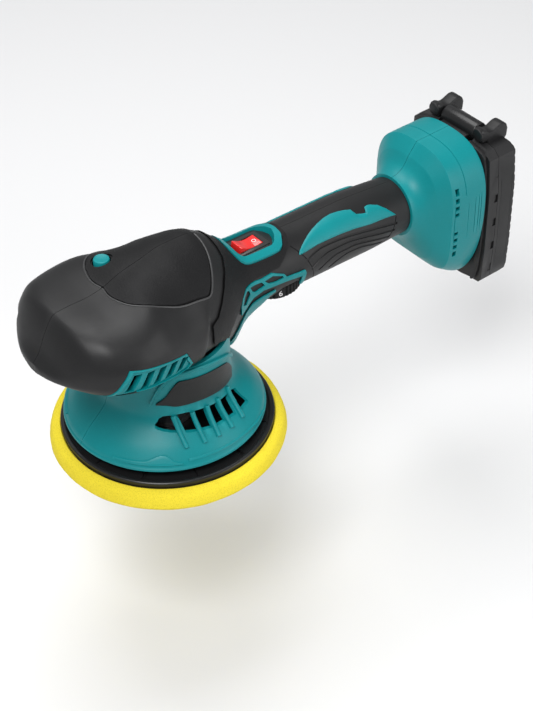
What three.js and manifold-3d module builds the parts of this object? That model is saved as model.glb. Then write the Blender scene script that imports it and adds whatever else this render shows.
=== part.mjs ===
// Cordless dual action polisher: an upright motor drives an eccentric hub that carries the pad,
// under a clamshell head, with a handle behind it and a slide-on battery at the rear end.
// Millimetres, +Z up. The origin is on the motor's axis, in the plane of the foam pad's face;
// +X runs from the head back along the handle, and the clamshells meet on the plane y = 0.
import * as THREE from "three";
import { mergeVertices } from "three/addons/utils/BufferGeometryUtils.js";
import Module from "manifold-3d";

const wasm = await Module();
wasm.setup();

// ---- Driving dimensions -------------------------------------------------------------------

const GAP = 0.3; // between pieces that touch
const RUN = 0.8; // around pieces that turn or travel
const WALL = 3; // moulded housings
const PROUD = 1.2; // how far a soft or coloured panel stands out of the shell
const ROUND = 28; // segments of a large turned part
const SMALL = 16; // segments of a small turned part

const THROW = 2.5; // from the motor's axis to the pad's own axis, towards -Y
const PAD_R = 75;
const PAD_WAIST_R = 71.5; // top of the foam's side
const PAD_EDGE = 2.5; // rounding around the foam's face
const PAD_SEAT = 8.5; // foam under the plate
const PAD_H = 12.5; // foam shoulder around the plate
const HOOK_H = 1.4; // hook-and-loop disc
const PLATE_R = 67;
const PLATE_H = 4.2;
const PLATE_BEAD = 1.4; // rim that stands above the plate

const RIM_R = 63.5; // shroud
const RIM_Z = 20;
const NECK_R = 42;
const NECK_FOOT = 47;
const NECK_TOP = 80;
const VENT_WIDTH = 8.5;
const VENT_HEIGHT = 8;
const VENT_Z = 40.5;

const HEAD_FRONT = -88.5; // head and handle
const GRIP_R = 21.4;
const GRIP_END = 186;

const DOCK_LENGTH = 50; // rear housing
const DOCK_X = GRIP_END + DOCK_LENGTH;
const DOCK_HALF = 38;
const DOCK_TOP = 126.8;
const DOCK_BOTTOM = 13.5;

const CELL_R = 9.1; // battery
const CELL_LENGTH = 65;
const CELLS = 5;
const CELL_SPACE = 0.4; // between cells
const PACK_WALL = 1.5;
const PACK_HALF = 38;
const PACK_BOTTOM = 14.5;
const RAIL_Y = 24;
const RAIL_DEPTH = 3.2;
const RAIL_LOW = 30;
const RAIL_HIGH = 104;
const LATCH_TRAVEL = 3;

const SHAFT_R = 4; // drive
const STATOR_R = NECK_R - WALL - 8;
const ROTOR_R = 16;
const MOTOR_LOW = 70;
const MOTOR_HIGH = 112;
const FAN_R = NECK_R - WALL - 4;
const BEARING_R = 11;
const BEARING_H = 7;
const PAD_BEARING_R = 13;
const HUB_R = 5;
const BRACKET_R = NECK_R - WALL - 1;
const BRACKET_Z = 60;
const LOCK_X = -25; // shaft lock
const LOCK_Y = 19;
const LOCK_R = 5;
const LOCK_TOP = 134;
const LOCK_CAP = 6;
const PIN_R = 2;
const LOCK_NOTCHES = 12;

const DIAL_X = 84.5; // controls
const DIAL_R = 20.5;
const DIAL_Z = 74.5;
const DIAL_H = 8;
const ROCKER_X = 67;
const ROCKER_Z = 108;
const ROCKER_LENGTH = 17;
const ROCKER_WIDTH = 10;
const ROCKER_ANGLE = 20; // degrees, from off to on
const SWITCH_LENGTH = 25;
const SWITCH_WIDTH = 16;
const SCREW_R = 2;

// ---- Materials ----------------------------------------------------------------------------

const paint = (color, roughness, metalness = 0) =>
  new THREE.MeshStandardMaterial({ color, roughness, metalness });
const teal = paint(0x0e8288, 0.42);
const black = paint(0x2b2b2c, 0.55);
const rubber = paint(0x161616, 0.85);
const foam = paint(0xe8d223, 0.9);
const red = paint(0xd4231d, 0.3);
const steel = paint(0x9a9da1, 0.35, 1);
const copper = paint(0xb0622e, 0.4, 1);
const iron = paint(0x55585c, 0.5, 1);
const board = paint(0x14532d, 0.6);
const wrap = paint(0x2f5fa8, 0.45);

// ---- Solids -------------------------------------------------------------------------------

// Turns a geometry into a manifold-3d solid.
function solid(geometry) {
  const bare = geometry.index ? geometry.toNonIndexed() : geometry.clone();
  bare.deleteAttribute("normal");
  bare.deleteAttribute("uv");
  const merged = mergeVertices(bare, 1e-4);
  return new wasm.Manifold(
    new wasm.Mesh({
      numProp: 3,
      vertProperties: new Float32Array(merged.attributes.position.array),
      triVerts: new Uint32Array(merged.index.array),
    }),
  );
}

const root = new THREE.Group();

// Adds a solid to the model as a named mesh.
function add(name, shape, material) {
  const data = shape.getMesh();
  const geometry = new THREE.BufferGeometry();
  geometry.setAttribute("position", new THREE.BufferAttribute(data.vertProperties.slice(), 3));
  geometry.setIndex(new THREE.BufferAttribute(data.triVerts.slice(), 1));
  const mesh = new THREE.Mesh(geometry, material);
  mesh.name = name;
  root.add(mesh);
}

const union = (...shapes) => shapes.reduce((a, b) => a.add(b));

// A box between two corners.
function box(x0, x1, y0, y1, z0, z1) {
  const g = new THREE.BoxGeometry(x1 - x0, y1 - y0, z1 - z0);
  return solid(g.translate((x0 + x1) / 2, (y0 + y1) / 2, (z0 + z1) / 2));
}

// A turned solid about a vertical axis at x, y, from a profile of [radius, z] points, anticlockwise.
function turned(profile, { x = 0, y = 0, segments = ROUND } = {}) {
  const points = profile.map(([r, z]) => new THREE.Vector2(r, z));
  if (points[0].x > 0) points.push(points[0].clone());
  const g = new THREE.LatheGeometry(points, segments).rotateX(Math.PI / 2);
  return solid(g.translate(x, y, 0));
}

const ring = (inner, outer, z0, z1, place) =>
  turned([[inner, z0], [outer, z0], [outer, z1], [inner, z1]], place);
const disc = (r, z0, z1, place) => turned([[0, z0], [r, z0], [r, z1], [0, z1]], place);

// A cylinder lying along Y.
function crossBar(r, x, z, y0, y1, segments = SMALL) {
  const g = new THREE.CylinderGeometry(r, r, y1 - y0, segments);
  return solid(g.translate(x, (y0 + y1) / 2, z));
}

const outline = (points) => new THREE.Shape(points.map(([x, y]) => new THREE.Vector2(x, y)));

// An outline of [x, z] points, extruded sideways from y0 to y1.
function sideways(points, y0, y1) {
  const g = new THREE.ExtrudeGeometry(outline(points), { depth: y1 - y0, bevelEnabled: false });
  return solid(g.rotateX(Math.PI / 2).translate(0, y1, 0));
}

// An outline of [x, y] points, extruded upwards from z0 to z1.
function upwards(points, z0, z1) {
  const g = new THREE.ExtrudeGeometry(outline(points), { depth: z1 - z0, bevelEnabled: false });
  return solid(g.translate(0, 0, z0));
}

// An outline of [y, z] points, extruded lengthways from x0 to x1.
function lengthways(points, x0, x1) {
  const g = new THREE.ExtrudeGeometry(outline(points), { depth: x1 - x0, bevelEnabled: false });
  const [X, Y, Z] = [[1, 0, 0], [0, 1, 0], [0, 0, 1]].map((v) => new THREE.Vector3(...v));
  return solid(g.applyMatrix4(new THREE.Matrix4().makeBasis(Y, Z, X)).translate(x0, 0, 0));
}

// A smooth value along x through the given [x, value] points.
function along(points) {
  const spline = new THREE.CubicInterpolant(points.map(([x]) => x), points.map(([, v]) => v), 1);
  const [first, last] = [points[0][0], points.at(-1)[0]];
  return (x) => spline.evaluate(THREE.MathUtils.clamp(x, first, last))[0];
}

const power = (value, exponent) => Math.sign(value) * Math.abs(value) ** exponent;

// A closed solid through cross sections at the given stations along X. Each section is a
// rounded form: form(x) gives its half width, top, middle and bottom heights, and how square
// its upper and lower halves are.
function loft(stations, form, grow = 0, around = 24) {
  const count = stations.length - 1;
  const g = new THREE.CylinderGeometry(1, 1, count, around, count);
  const p = g.attributes.position;
  for (let i = 0; i < p.count; i++) {
    const x = stations[Math.round(p.getY(i) + count / 2)];
    const { half, top, middle, bottom, upper, lower } = form(x);
    const inside = Math.hypot(p.getX(i), p.getZ(i)) < 0.5;
    const angle = Math.atan2(p.getZ(i), -p.getX(i));
    const [c, s] = inside ? [0, 0] : [Math.cos(angle), Math.sin(angle)];
    const squareness = s > 0 ? upper : lower;
    const reach = s > 0 ? top - middle + grow : middle - bottom + grow;
    const y = (half + grow) * power(c, 2 / squareness);
    p.setXYZ(i, x, y, middle + reach * power(s, 2 / squareness));
  }
  return solid(g);
}

const LEFT = box(-200, 400, GAP / 2, 200, -50, 300);
const RIGHT = box(-200, 400, -200, -GAP / 2, -50, 300);

// Adds a solid as two halves that meet on y = 0.
function halves(name, shape, material) {
  add(name + "_left", shape.intersect(LEFT), material);
  add(name + "_right", shape.intersect(RIGHT), material);
}

// Cuts every one of the given solids out of the first.
const cut = (from, ...tools) => tools.reduce((made, tool) => made.subtract(tool), from);

// A pie slice of the plan, between two angles in degrees, from z0 to z1.
function slice(from, to, z0, z1) {
  const arc = Array.from({ length: 5 }, (_, i) => {
    const a = THREE.MathUtils.degToRad(from + ((to - from) * i) / 4);
    return [100 * Math.cos(a), 100 * Math.sin(a)];
  });
  return upwards([[0, 0], ...arc], z0, z1);
}

// A round wire along a path of points.
function wire(points, radius, steps) {
  const path = new THREE.CatmullRomCurve3(points.map((p) => new THREE.Vector3(...p)));
  const section = new THREE.Shape().absarc(0, 0, radius, 0, 2 * Math.PI);
  const g = new THREE.ExtrudeGeometry(section, { steps, extrudePath: path, curveSegments: 3 });
  return solid(g);
}

// A compression spring standing at x, y.
function spring(x, y, z0, z1, radius, turns, thickness) {
  const count = turns * 8;
  const points = Array.from({ length: count + 1 }, (_, i) => {
    const a = (2 * Math.PI * i) / 8;
    const z = z0 + thickness + ((z1 - z0 - 2 * thickness) * i) / count;
    return [x + radius * Math.cos(a), y + radius * Math.sin(a), z];
  });
  return wire(points, thickness, count);
}

// A screw across the clamshells, from the left: its shank ends at y0 and its head starts at y1.
const screw = (x, z, y0, y1) =>
  crossBar(SCREW_R, x, z, y0, y1 + 0.1, 12).add(crossBar(SCREW_R + 1.5, x, z, y1, y1 + 2.5, 12));
const screwHole = (x, z, y0, y1) =>
  crossBar(SCREW_R + GAP, x, z, y0 - 1, y1 + 1, 12)
    .add(crossBar(SCREW_R + 1.5 + GAP, x, z, y1 - GAP, y1 + 60, 12));
const boss = (x, z) => crossBar(SCREW_R + 3, x, z, -60, 60, 12);
const HEAD_SCREW = [-74, 107, -12, 12];
const GRIP_SCREW = [GRIP_END - 12, 87, -10, 10];
const DOCK_SCREW = [GRIP_END + 27, 102, -14, 22];

// ---- Body form: head, throat and handle ---------------------------------------------------

const bodyHalf = along([
  [HEAD_FRONT, 6], [-87, 14], [-84, 22.5], [-78, 33.5], [-70, 42], [-60, 48], [-45, 51.2],
  [-28, 50], [-10, 46], [5, 42.8], [18, 38.5], [30, 33], [42, 26.5], [55, 22], [70, 22],
  [100, GRIP_R], [GRIP_END - 36, GRIP_R], [GRIP_END - 16, GRIP_R - 0.9], [GRIP_END, GRIP_R - 1.9],
]);
const bodyTop = along([
  [HEAD_FRONT, 100], [-84, 105.5], [-78, 118.5], [-71, 127.5], [-62, 128.2], [-50, 128],
  [-39, 129.4], [-25, 134.3], [-12, 137], [5, 140.3], [20, 140], [32, 135.7], [42, 127],
  [50, 119.7], [58, 113.9], [70, 112.4], [85, 111.9], [100, 111], [GRIP_END - 46, 110],
  [GRIP_END - 21, 107.7], [GRIP_END, 105.5],
]);
const bodyMiddle = along([
  [HEAD_FRONT, 97.5], [-70, 100], [20, 96], [50, 92.3], [100, 89.6], [GRIP_END - 36, 88.5],
  [GRIP_END, 86],
]);
const bodyBottom = along([
  [HEAD_FRONT, 94.5], [-84, 93], [-70, 87], [-40, 83], [0, 79], [15, 76], [30, 60], [38, 50],
  [44, 43.8], [47, 49], [52, 57.5], [60, 66], [70, 70], [85, 69.3], [100, 68.2], [GRIP_END - 56, 67.2],
  [GRIP_END - 21, 66.3], [GRIP_END, 66.5],
]);
const bodyUpper = along([
  [HEAD_FRONT, 2], [-75, 2.4], [-60, 3.2], [-40, 3.3], [-20, 2.2], [0, 1.75], [20, 1.76], [35, 1.8],
  [50, 1.9], [70, 2], [GRIP_END, 2],
]);
const bodyLower = along([
  [HEAD_FRONT, 3], [-75, 2.6], [-60, 2.7], [-30, 3.6], [5, 4], [20, 3], [30, 2.4], [45, 1.7], [60, 2],
  [GRIP_END, 2],
]);

const bodyForm = (x) => ({
  half: bodyHalf(x),
  top: bodyTop(x),
  middle: bodyMiddle(x),
  bottom: bodyBottom(x),
  upper: bodyUpper(x),
  lower: bodyLower(x),
});

const BODY_STATIONS = [
  HEAD_FRONT, -87, -84, -79, -72, -62, -50, -38, -25, -12, 2, 14, 24, 32, 38, 43, 47, 52, 59, 68,
  82, 104, 135, GRIP_END - 21, GRIP_END,
];

const body = loft(BODY_STATIONS, bodyForm);
const bodyInside = loft(
  [-84, -72, -50, -25, 2, 24, 38, 43, 52, 68, 104, GRIP_END - 21, GRIP_END + 1], bodyForm, -WALL, 20);
const bodyShell = body.subtract(bodyInside);

// The layer between two distances from the body's surface, for panels that lie on it.
const skin = (from, to) =>
  loft(BODY_STATIONS, bodyForm, to).subtract(loft([...BODY_STATIONS, GRIP_END + 1], bodyForm, from));

// ---- Shroud: the bell over the pad and the neck above it ----------------------------------

const bellProfile = (grow) => [
  [RIM_R + grow, RIM_Z], [RIM_R - 1.5 + grow, RIM_Z + 4], [56 + grow, 31.5], [48.5 + grow, 38],
  [NECK_R + 2 + grow, NECK_FOOT - 4], [NECK_R + grow, NECK_FOOT],
];
const bell = (grow) =>
  turned([[0, RIM_Z - Math.abs(grow)], [RIM_R + grow, RIM_Z - Math.abs(grow)], ...bellProfile(grow),
    [NECK_R + grow, NECK_TOP + Math.abs(grow)], [0, NECK_TOP + Math.abs(grow)]]);

function shroud() {
  const vents = [-125, -111, -97, -83, -69, -55].flatMap((angle) =>
    [angle, -angle].map((a) =>
      solid(new THREE.BoxGeometry(22, VENT_WIDTH, VENT_HEIGHT).translate(50, 0, VENT_Z)
        .rotateZ(THREE.MathUtils.degToRad(a)))));
  const seat = ring(BRACKET_R - 2.5, NECK_R - WALL + 0.5, BRACKET_Z - 3, BRACKET_Z - GAP);
  halves("shroud", cut(bell(0), bell(-WALL), ...vents).add(seat), teal);
  const band = ring(NECK_R + GAP, NECK_R + PROUD, 53, 71);
  add("neck_panel_left", band.intersect(slice(50, 126, 40, 90)), black);
  add("neck_panel_right", band.intersect(slice(-126, -50, 40, 90)), black);
}

// ---- Bonnet -------------------------------------------------------------------------------

const mirrored = (points) => [...points, ...points.map(([x, y]) => [x, -y]).reverse()];

// The seam where the bonnet meets the handle shell, as everything ahead of a plan outline.
const ahead = (shift) => {
  const seam = [[6, 60], [8, 42], [14, 40], [19, 37], [25, 32], [30, 26], [33, 19], [34.5, 6]];
  const side = [[-150, 60], ...seam.map(([x, y]) => [x + shift, y])];
  return upwards(mirrored(side).reverse(), -50, 250);
};

// The grille in each side of the bonnet.
const grilleSpace = (grow) => {
  const points = [
    [-68 - grow, 91 - grow], [-14 + grow, 88 - grow], [-10 + grow, 91], [-15 + grow, 100 + grow],
    [-54 - grow, 109.5 + grow],
  ];
  return union(sideways(points, -60, -30), sideways(points, 30, 60));
};

// The soft panels on the bonnet's top.
const topPanel = (grow) =>
  upwards(mirrored([[-38, 2], [-39.4, 7], [-38.6, 14], [-35, 24], [-27.7, 31], [-14, 34.7], [0, 34.8],
    [12.6, 34], [16.4, 32.3], [21.3, 27], [25.6, 19.4], [28.1, 11], [28.1, 2]]
    .map(([x, y]) => [x + grow * Math.sign(x + 5), y + grow])).reverse(), 90, 160);

const lockBar = (r, z0, z1) => disc(r, z0, z1, { x: LOCK_X, y: LOCK_Y, segments: SMALL });

// The pin's tip, at rest, hangs just above the lock ring.
const LOCK_RING = { low: MOTOR_HIGH + 1.5, high: MOTOR_HIGH + 4 };
const PIN_TIP = LOCK_RING.high + 1;
const LOCK_SEAT = PIN_TIP + 0.5;
const UPPER_BEARING = LOCK_RING.high + 2;

function bonnet() {
  const socket = cut(disc(BEARING_R + 3, UPPER_BEARING, 150),
    disc(BEARING_R + GAP, 0, UPPER_BEARING + BEARING_H + 1));
  const barrel = cut(lockBar(LOCK_R + 3, LOCK_SEAT, 150), lockBar(LOCK_R + RUN, LOCK_SEAT + 1.5, 160));
  const ribs = union(socket, barrel, boss(HEAD_SCREW[0], HEAD_SCREW[1])).intersect(body);
  const shell = cut(bodyShell.add(ribs).intersect(ahead(0)),
    disc(NECK_R + GAP, 40, NECK_TOP + 1),
    disc(STATOR_R + 2, 40, NECK_TOP + 10),
    grilleSpace(GAP),
    skin(-PROUD, 5).intersect(topPanel(GAP)),
    lockBar(LOCK_R + RUN, LOCK_SEAT + 1.5, 160),
    lockBar(PIN_R + RUN / 2, 100, 130),
    screwHole(...HEAD_SCREW));
  halves("head_cover", shell, black);
  const panel = cut(skin(GAP - PROUD, 0.3).intersect(topPanel(0)), lockBar(LOCK_R + 2 * RUN, 90, 160));
  halves("top_grip", panel, rubber);
}

// Each grille has five slanted slots.
function grilles() {
  const slots = Array.from({ length: 5 }, (_, i) => {
    const [x, low, high] = [-60 + 8.6 * i, 94 - 0.7 * i, 105 - 1.8 * i];
    return sideways([[x, low], [x + 3.6, low], [x + 10, high], [x + 6.4, high]], -60, 60);
  });
  const plate = cut(skin(-2, -0.4).intersect(grilleSpace(0)), ...slots);
  add("vent_grille_left", plate.intersect(LEFT), teal);
  add("vent_grille_right", plate.intersect(RIGHT), teal);
}

// ---- Handle -------------------------------------------------------------------------------

const dialSpace = disc(DIAL_R + RUN, DIAL_Z - RUN, DIAL_Z + DIAL_H + RUN, { x: DIAL_X });
const neckSpace = bell(GAP).add(disc(NECK_R + GAP, 30, NECK_TOP + 1));
const switchSpace = box(ROCKER_X - 21, ROCKER_X + 23, -15, 15, ROCKER_Z - 6, 140);

function handle() {
  const shell = cut(bodyShell.add(boss(GRIP_SCREW[0], GRIP_SCREW[1]).intersect(body)),
    ahead(GAP), box(-100, 13, -60, 60, 0, 200), neckSpace, switchSpace, dialSpace,
    screwHole(...GRIP_SCREW));
  halves("handle_shell", shell, black);
  const accent = [
    [94.5, 101.5], [101, 106.4], [115.6, 108.9], [128, 109.3], [142.5, 107.7], [145, 105.6],
    [152, 104.5], [155, 106], [163, 104], [168, 100.5], [173, 95.2], [162.6, 96.5], [150.7, 97.8],
    [136.4, 99.9], [120, 101], [108.7, 101.1], [97, 99.8],
  ];
  const crescent = skin(GAP, PROUD).intersect(sideways(accent.reverse(), -60, 60));
  add("grip_accent_left", crescent.intersect(box(0, 300, 3, 60, 0, 200)), teal);
  add("grip_accent_right", crescent.intersect(box(0, 300, -60, -3, 0, 200)), teal);
  const trim = [
    [38, 70], [40, 94], [48, 101.5], [56, 101], [70, 99.6], [80, 94], [92, 91.5], [107, 90],
    [107, 78], [104.5, 78], [104.5, 85], [66, 85], [64.5, 60], [50, 40], [38, 36],
  ];
  const lattice = skin(GAP, PROUD).intersect(sideways(trim.reverse(), -60, 60));
  halves("dial_trim", cut(lattice, dialSpace, neckSpace, ahead(4)), teal);
  const saddle = [
    [0, 86], [26, 76], [30, 86], [36, 92], [39, 95.5], [47, 103], [56, 103], [66, 101.5],
    [77, 100.7], [84, 101.5], [92, 105], [94, 112], [94, 160], [0, 160],
  ];
  const cover = skin(GAP, PROUD).intersect(sideways(saddle, -60, 60));
  add("switch_saddle", cut(cover, ahead(GAP + 1), neckSpace, switchSpace), rubber);
}

// ---- Switch and speed dial ----------------------------------------------------------------

function controls() {
  const [x0, x1] = [ROCKER_X - 21 + GAP, ROCKER_X + 23 - GAP];
  const frame = box(x0, x1, -15 + GAP, 15 - GAP, ROCKER_Z - 4, 140)
    .intersect(loft(BODY_STATIONS, bodyForm, PROUD + 0.8));
  const [halfLength, halfWidth] = [SWITCH_LENGTH / 2, SWITCH_WIDTH / 2];
  const opening = box(ROCKER_X - halfLength - GAP, ROCKER_X + halfLength + GAP,
    -halfWidth - GAP, halfWidth + GAP, ROCKER_Z - 20, 140);
  add("switch_bezel", frame.subtract(opening), teal);

  const top = ROCKER_Z + 3;
  const cased = box(ROCKER_X - halfLength, ROCKER_X + halfLength, -halfWidth, halfWidth, ROCKER_Z - 16, top);
  const well = box(ROCKER_X - ROCKER_LENGTH / 2 - RUN, ROCKER_X + ROCKER_LENGTH / 2 + RUN,
    -ROCKER_WIDTH / 2 - GAP, ROCKER_WIDTH / 2 + GAP, ROCKER_Z - 5, 140);
  add("switch_body", cased.subtract(well), black);

  const half = ROCKER_LENGTH / 2;
  const profile = [[-half, -1], [-4, -2.5], [4, -2.5], [half, -1], [half, 4.5], [0, 2.8], [-half, 4.5]];
  const tilt = THREE.MathUtils.degToRad(ROCKER_ANGLE / 2);
  const tilted = profile.map(([x, z]) => [
    ROCKER_X + x * Math.cos(tilt) + z * Math.sin(tilt),
    ROCKER_Z - x * Math.sin(tilt) + z * Math.cos(tilt),
  ]);
  add("rocker", sideways(tilted, -ROCKER_WIDTH / 2, ROCKER_WIDTH / 2), red);

  const at = { x: DIAL_X, segments: SMALL };
  add("speed_dial", ring(3, DIAL_R, DIAL_Z, DIAL_Z + DIAL_H, { x: DIAL_X }), rubber);
  const regulator = disc(8, DIAL_Z + DIAL_H + 1, DIAL_Z + DIAL_H + 7, at)
    .add(disc(2.6, DIAL_Z + 1, DIAL_Z + DIAL_H + 2, at));
  add("speed_regulator", regulator, iron);
}

// ---- Motor and drive ----------------------------------------------------------------------

const PLATE_Z = PAD_SEAT + GAP + HOOK_H + GAP;
const HUB_Z = PLATE_Z + PLATE_H + GAP;
const WEIGHT_Z = HUB_Z + 14;
const PAD_AXIS = { y: -THROW };

function motor() {
  const shaft = { segments: SMALL };
  add("motor_stator", ring(ROTOR_R + 1, STATOR_R, MOTOR_LOW, MOTOR_HIGH), copper);
  add("motor_rotor", ring(SHAFT_R + GAP, ROTOR_R, MOTOR_LOW, MOTOR_HIGH, { segments: SMALL }), iron);
  const shaftTop = UPPER_BEARING + BEARING_H;
  add("motor_shaft", disc(SHAFT_R, WEIGHT_Z + 13, shaftTop, shaft), steel);
  const bearing = (z) => ring(SHAFT_R + GAP, BEARING_R, z, z + BEARING_H, shaft);
  add("upper_bearing", bearing(UPPER_BEARING + GAP), steel);
  add("lower_bearing", bearing(BRACKET_Z + GAP), steel);
  const seat = BRACKET_Z + BEARING_H + 2 * GAP;
  add("motor_bracket", turned([
    [BEARING_R + GAP, BRACKET_Z], [BRACKET_R, BRACKET_Z], [BRACKET_R, BRACKET_Z + 3],
    [BEARING_R + 4, BRACKET_Z + 3], [BEARING_R + 4, seat + 1.6], [SHAFT_R + 2, seat + 1.6],
    [SHAFT_R + 2, seat], [BEARING_R + GAP, seat],
  ]), steel);
  const notches = Array.from({ length: LOCK_NOTCHES }, (_, i) => {
    const a = Math.atan2(LOCK_Y, LOCK_X) + (2 * Math.PI * i) / LOCK_NOTCHES;
    const r = Math.hypot(LOCK_X, LOCK_Y);
    return disc(PIN_R + RUN, 0, 200, { x: r * Math.cos(a), y: r * Math.sin(a), segments: 6 });
  });
  const lockRing = ring(SHAFT_R + GAP, Math.hypot(LOCK_X, LOCK_Y) + 0.5, LOCK_RING.low, LOCK_RING.high);
  add("lock_ring", cut(lockRing, ...notches), steel);
}

function fan() {
  const [low, high] = [BRACKET_Z - 12, BRACKET_Z - 4];
  const blades = Array.from({ length: 9 }, (_, i) =>
    solid(new THREE.BoxGeometry(FAN_R - 10, 1.5, high - low).translate((FAN_R + 9) / 2, 0, (low + high) / 2)
      .rotateZ((2 * Math.PI * i) / 9)));
  const hub = ring(SHAFT_R + GAP, 11, low, high).add(ring(10, FAN_R, high - 1.5, high));
  add("cooling_fan", union(hub, ...blades), black);
}

function eccentric() {
  const bore = disc(PAD_BEARING_R + GAP, WEIGHT_Z - 5, WEIGHT_Z + BEARING_H + 1, PAD_AXIS);
  const relief = disc(HUB_R + 3, WEIGHT_Z, WEIGHT_Z + BEARING_H + 3, PAD_AXIS);
  const hub = disc(PAD_BEARING_R + 4, WEIGHT_Z, WEIGHT_Z + 12, PAD_AXIS);
  const lobe = disc(30, WEIGHT_Z + 3, WEIGHT_Z + 12).intersect(slice(20, 160, 0, 100));
  const stem = disc(9, WEIGHT_Z + 10, BRACKET_Z - 13).subtract(disc(SHAFT_R + GAP, WEIGHT_Z + 13 - GAP, 99));
  add("counterweight", cut(hub.add(lobe), bore, relief).add(stem), iron);
  const inner = { ...PAD_AXIS, segments: SMALL };
  const low = WEIGHT_Z + 0.5;
  add("pad_bearing", ring(HUB_R + GAP, PAD_BEARING_R, low, low + BEARING_H, inner), steel);
}

// ---- Pad ----------------------------------------------------------------------------------

function pad() {
  const boltR = 3;
  const hub = turned([
    [boltR + GAP, HUB_Z], [16, HUB_Z], [16, HUB_Z + 3], [9, HUB_Z + 7], [HUB_R + 2, WEIGHT_Z - 1],
    [HUB_R, WEIGHT_Z - 1], [HUB_R, WEIGHT_Z + BEARING_H + 1], [boltR + GAP, WEIGHT_Z + BEARING_H + 1],
  ], PAD_AXIS);
  add("pad_hub", hub, steel);
  const top = PLATE_Z + PLATE_H;
  const plateShape = turned([
    [boltR + GAP, PLATE_Z], [PLATE_R - 1, PLATE_Z], [PLATE_R, PLATE_Z + 1.5], [PLATE_R, top],
    [PLATE_R - 1, top + PLATE_BEAD], [PLATE_R - 3, top + PLATE_BEAD], [PLATE_R - 4, top], [boltR + GAP, top],
  ], PAD_AXIS).subtract(disc(7.3, 0, PLATE_Z + 2.5, PAD_AXIS));
  add("backing_plate", plateShape, black);
  const bolt = disc(boltR, PLATE_Z + 1, WEIGHT_Z, { ...PAD_AXIS, segments: 16 })
    .add(disc(7, PLATE_Z + 0.1, PLATE_Z + 2.2, PAD_AXIS));
  add("plate_bolt", bolt, steel);
  add("hook_disc", disc(PLATE_R - 1, PAD_SEAT + GAP, PAD_SEAT + GAP + HOOK_H, PAD_AXIS), rubber);
  const shoulder = PLATE_R + 0.5;
  add("foam_pad", turned([
    [0, 0], [PAD_R - PAD_EDGE, 0], [PAD_R - 0.7, 0.8], [PAD_R, PAD_EDGE], [PAD_WAIST_R, PAD_SEAT],
    [shoulder + 0.4, PAD_H], [shoulder, PAD_H - 0.4], [shoulder, PAD_SEAT], [0, PAD_SEAT],
  ], { ...PAD_AXIS, segments: 48 }), foam);
}

// ---- Shaft lock ---------------------------------------------------------------------------

function shaftLock() {
  const low = LOCK_SEAT + 1.5 + GAP;
  const capLow = LOCK_TOP - LOCK_CAP;
  add("lock_button", lockBar(LOCK_R, capLow, LOCK_TOP).add(lockBar(PIN_R, PIN_TIP, capLow + 1)), teal);
  add("lock_spring", spring(LOCK_X, LOCK_Y, low, capLow - GAP, 3.6, 3, 0.45), steel);
}

// ---- Rear housing -------------------------------------------------------------------------

// Values at distances behind the handle's end.
const behind = (points) => along(points.map(([distance, value]) => [GRIP_END + distance, value]));

const dockHalf = behind([
  [0, GRIP_R], [5, GRIP_R + 0.8], [10, 25.5], [14, 29.3], [21, 36.8], [26, 37.4], [DOCK_LENGTH, DOCK_HALF],
]);
const dockTop = behind([
  [0, 107.5], [5, 108.3], [10, 111.5], [14, 118], [21, 126.6], [26, 127], [DOCK_LENGTH, DOCK_TOP],
]);
const dockBottom = behind([
  [0, 64.5], [5, 61], [10, 53], [14, 45], [21, 37.5], [36, 25], [DOCK_LENGTH, DOCK_BOTTOM],
]);
const dockMiddle = behind([[0, 86], [14, 84], [DOCK_LENGTH, 84]]);
const dockUpper = behind([[0, 2], [8, 2.3], [14, 3], [21, 2.7], [DOCK_LENGTH, 2.45]]);
const dockLower = behind([[0, 2], [8, 2.4], [14, 3.5], [21, 4], [29, 3], [DOCK_LENGTH, 2.1]]);
const dockForm = (x) => ({
  half: dockHalf(x),
  top: dockTop(x),
  middle: dockMiddle(x),
  bottom: dockBottom(x),
  upper: dockUpper(x),
  lower: dockLower(x),
});

function rearHousing() {
  const stations = [GAP, 4, 7, 10, 14, 17.5, 21, 26, 36, DOCK_LENGTH].map((d) => GRIP_END + d);
  const outer = loft(stations, dockForm, 0, 32);
  const inside = [-1, 7, 14, 21, 36, DOCK_LENGTH - WALL].map((d) => GRIP_END + d);
  const inner = loft(inside, dockForm, -WALL, 24);
  const rails = [-1, 1].map((side) => {
    const across = (x0, x1, y0, y1) =>
      box(x0, x1, Math.min(side * y0, side * y1), Math.max(side * y0, side * y1), RAIL_LOW, RAIL_HIGH);
    return across(DOCK_X - 1, DOCK_X + RAIL_DEPTH - 1, RAIL_Y, RAIL_Y + 2)
      .add(across(DOCK_X + RAIL_DEPTH - 1.6, DOCK_X + RAIL_DEPTH, RAIL_Y, RAIL_Y + 4));
  });
  const made = cut(outer, inner).add(boss(DOCK_SCREW[0], DOCK_SCREW[1]).intersect(outer));
  halves("rear_housing", cut(union(made, ...rails), screwHole(...DOCK_SCREW),
    box(DOCK_X - WALL - 1, DOCK_X + 1, -15.5, 15.5, 44.5, 76.5)), teal);
}

function housingScrews() {
  add("housing_screw_1", screw(...HEAD_SCREW), steel);
  add("housing_screw_2", screw(...GRIP_SCREW), steel);
  add("housing_screw_3", screw(...DOCK_SCREW), steel);
}

// ---- Electronics --------------------------------------------------------------------------

const PACK_X = DOCK_X + 2 * GAP;

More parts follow.
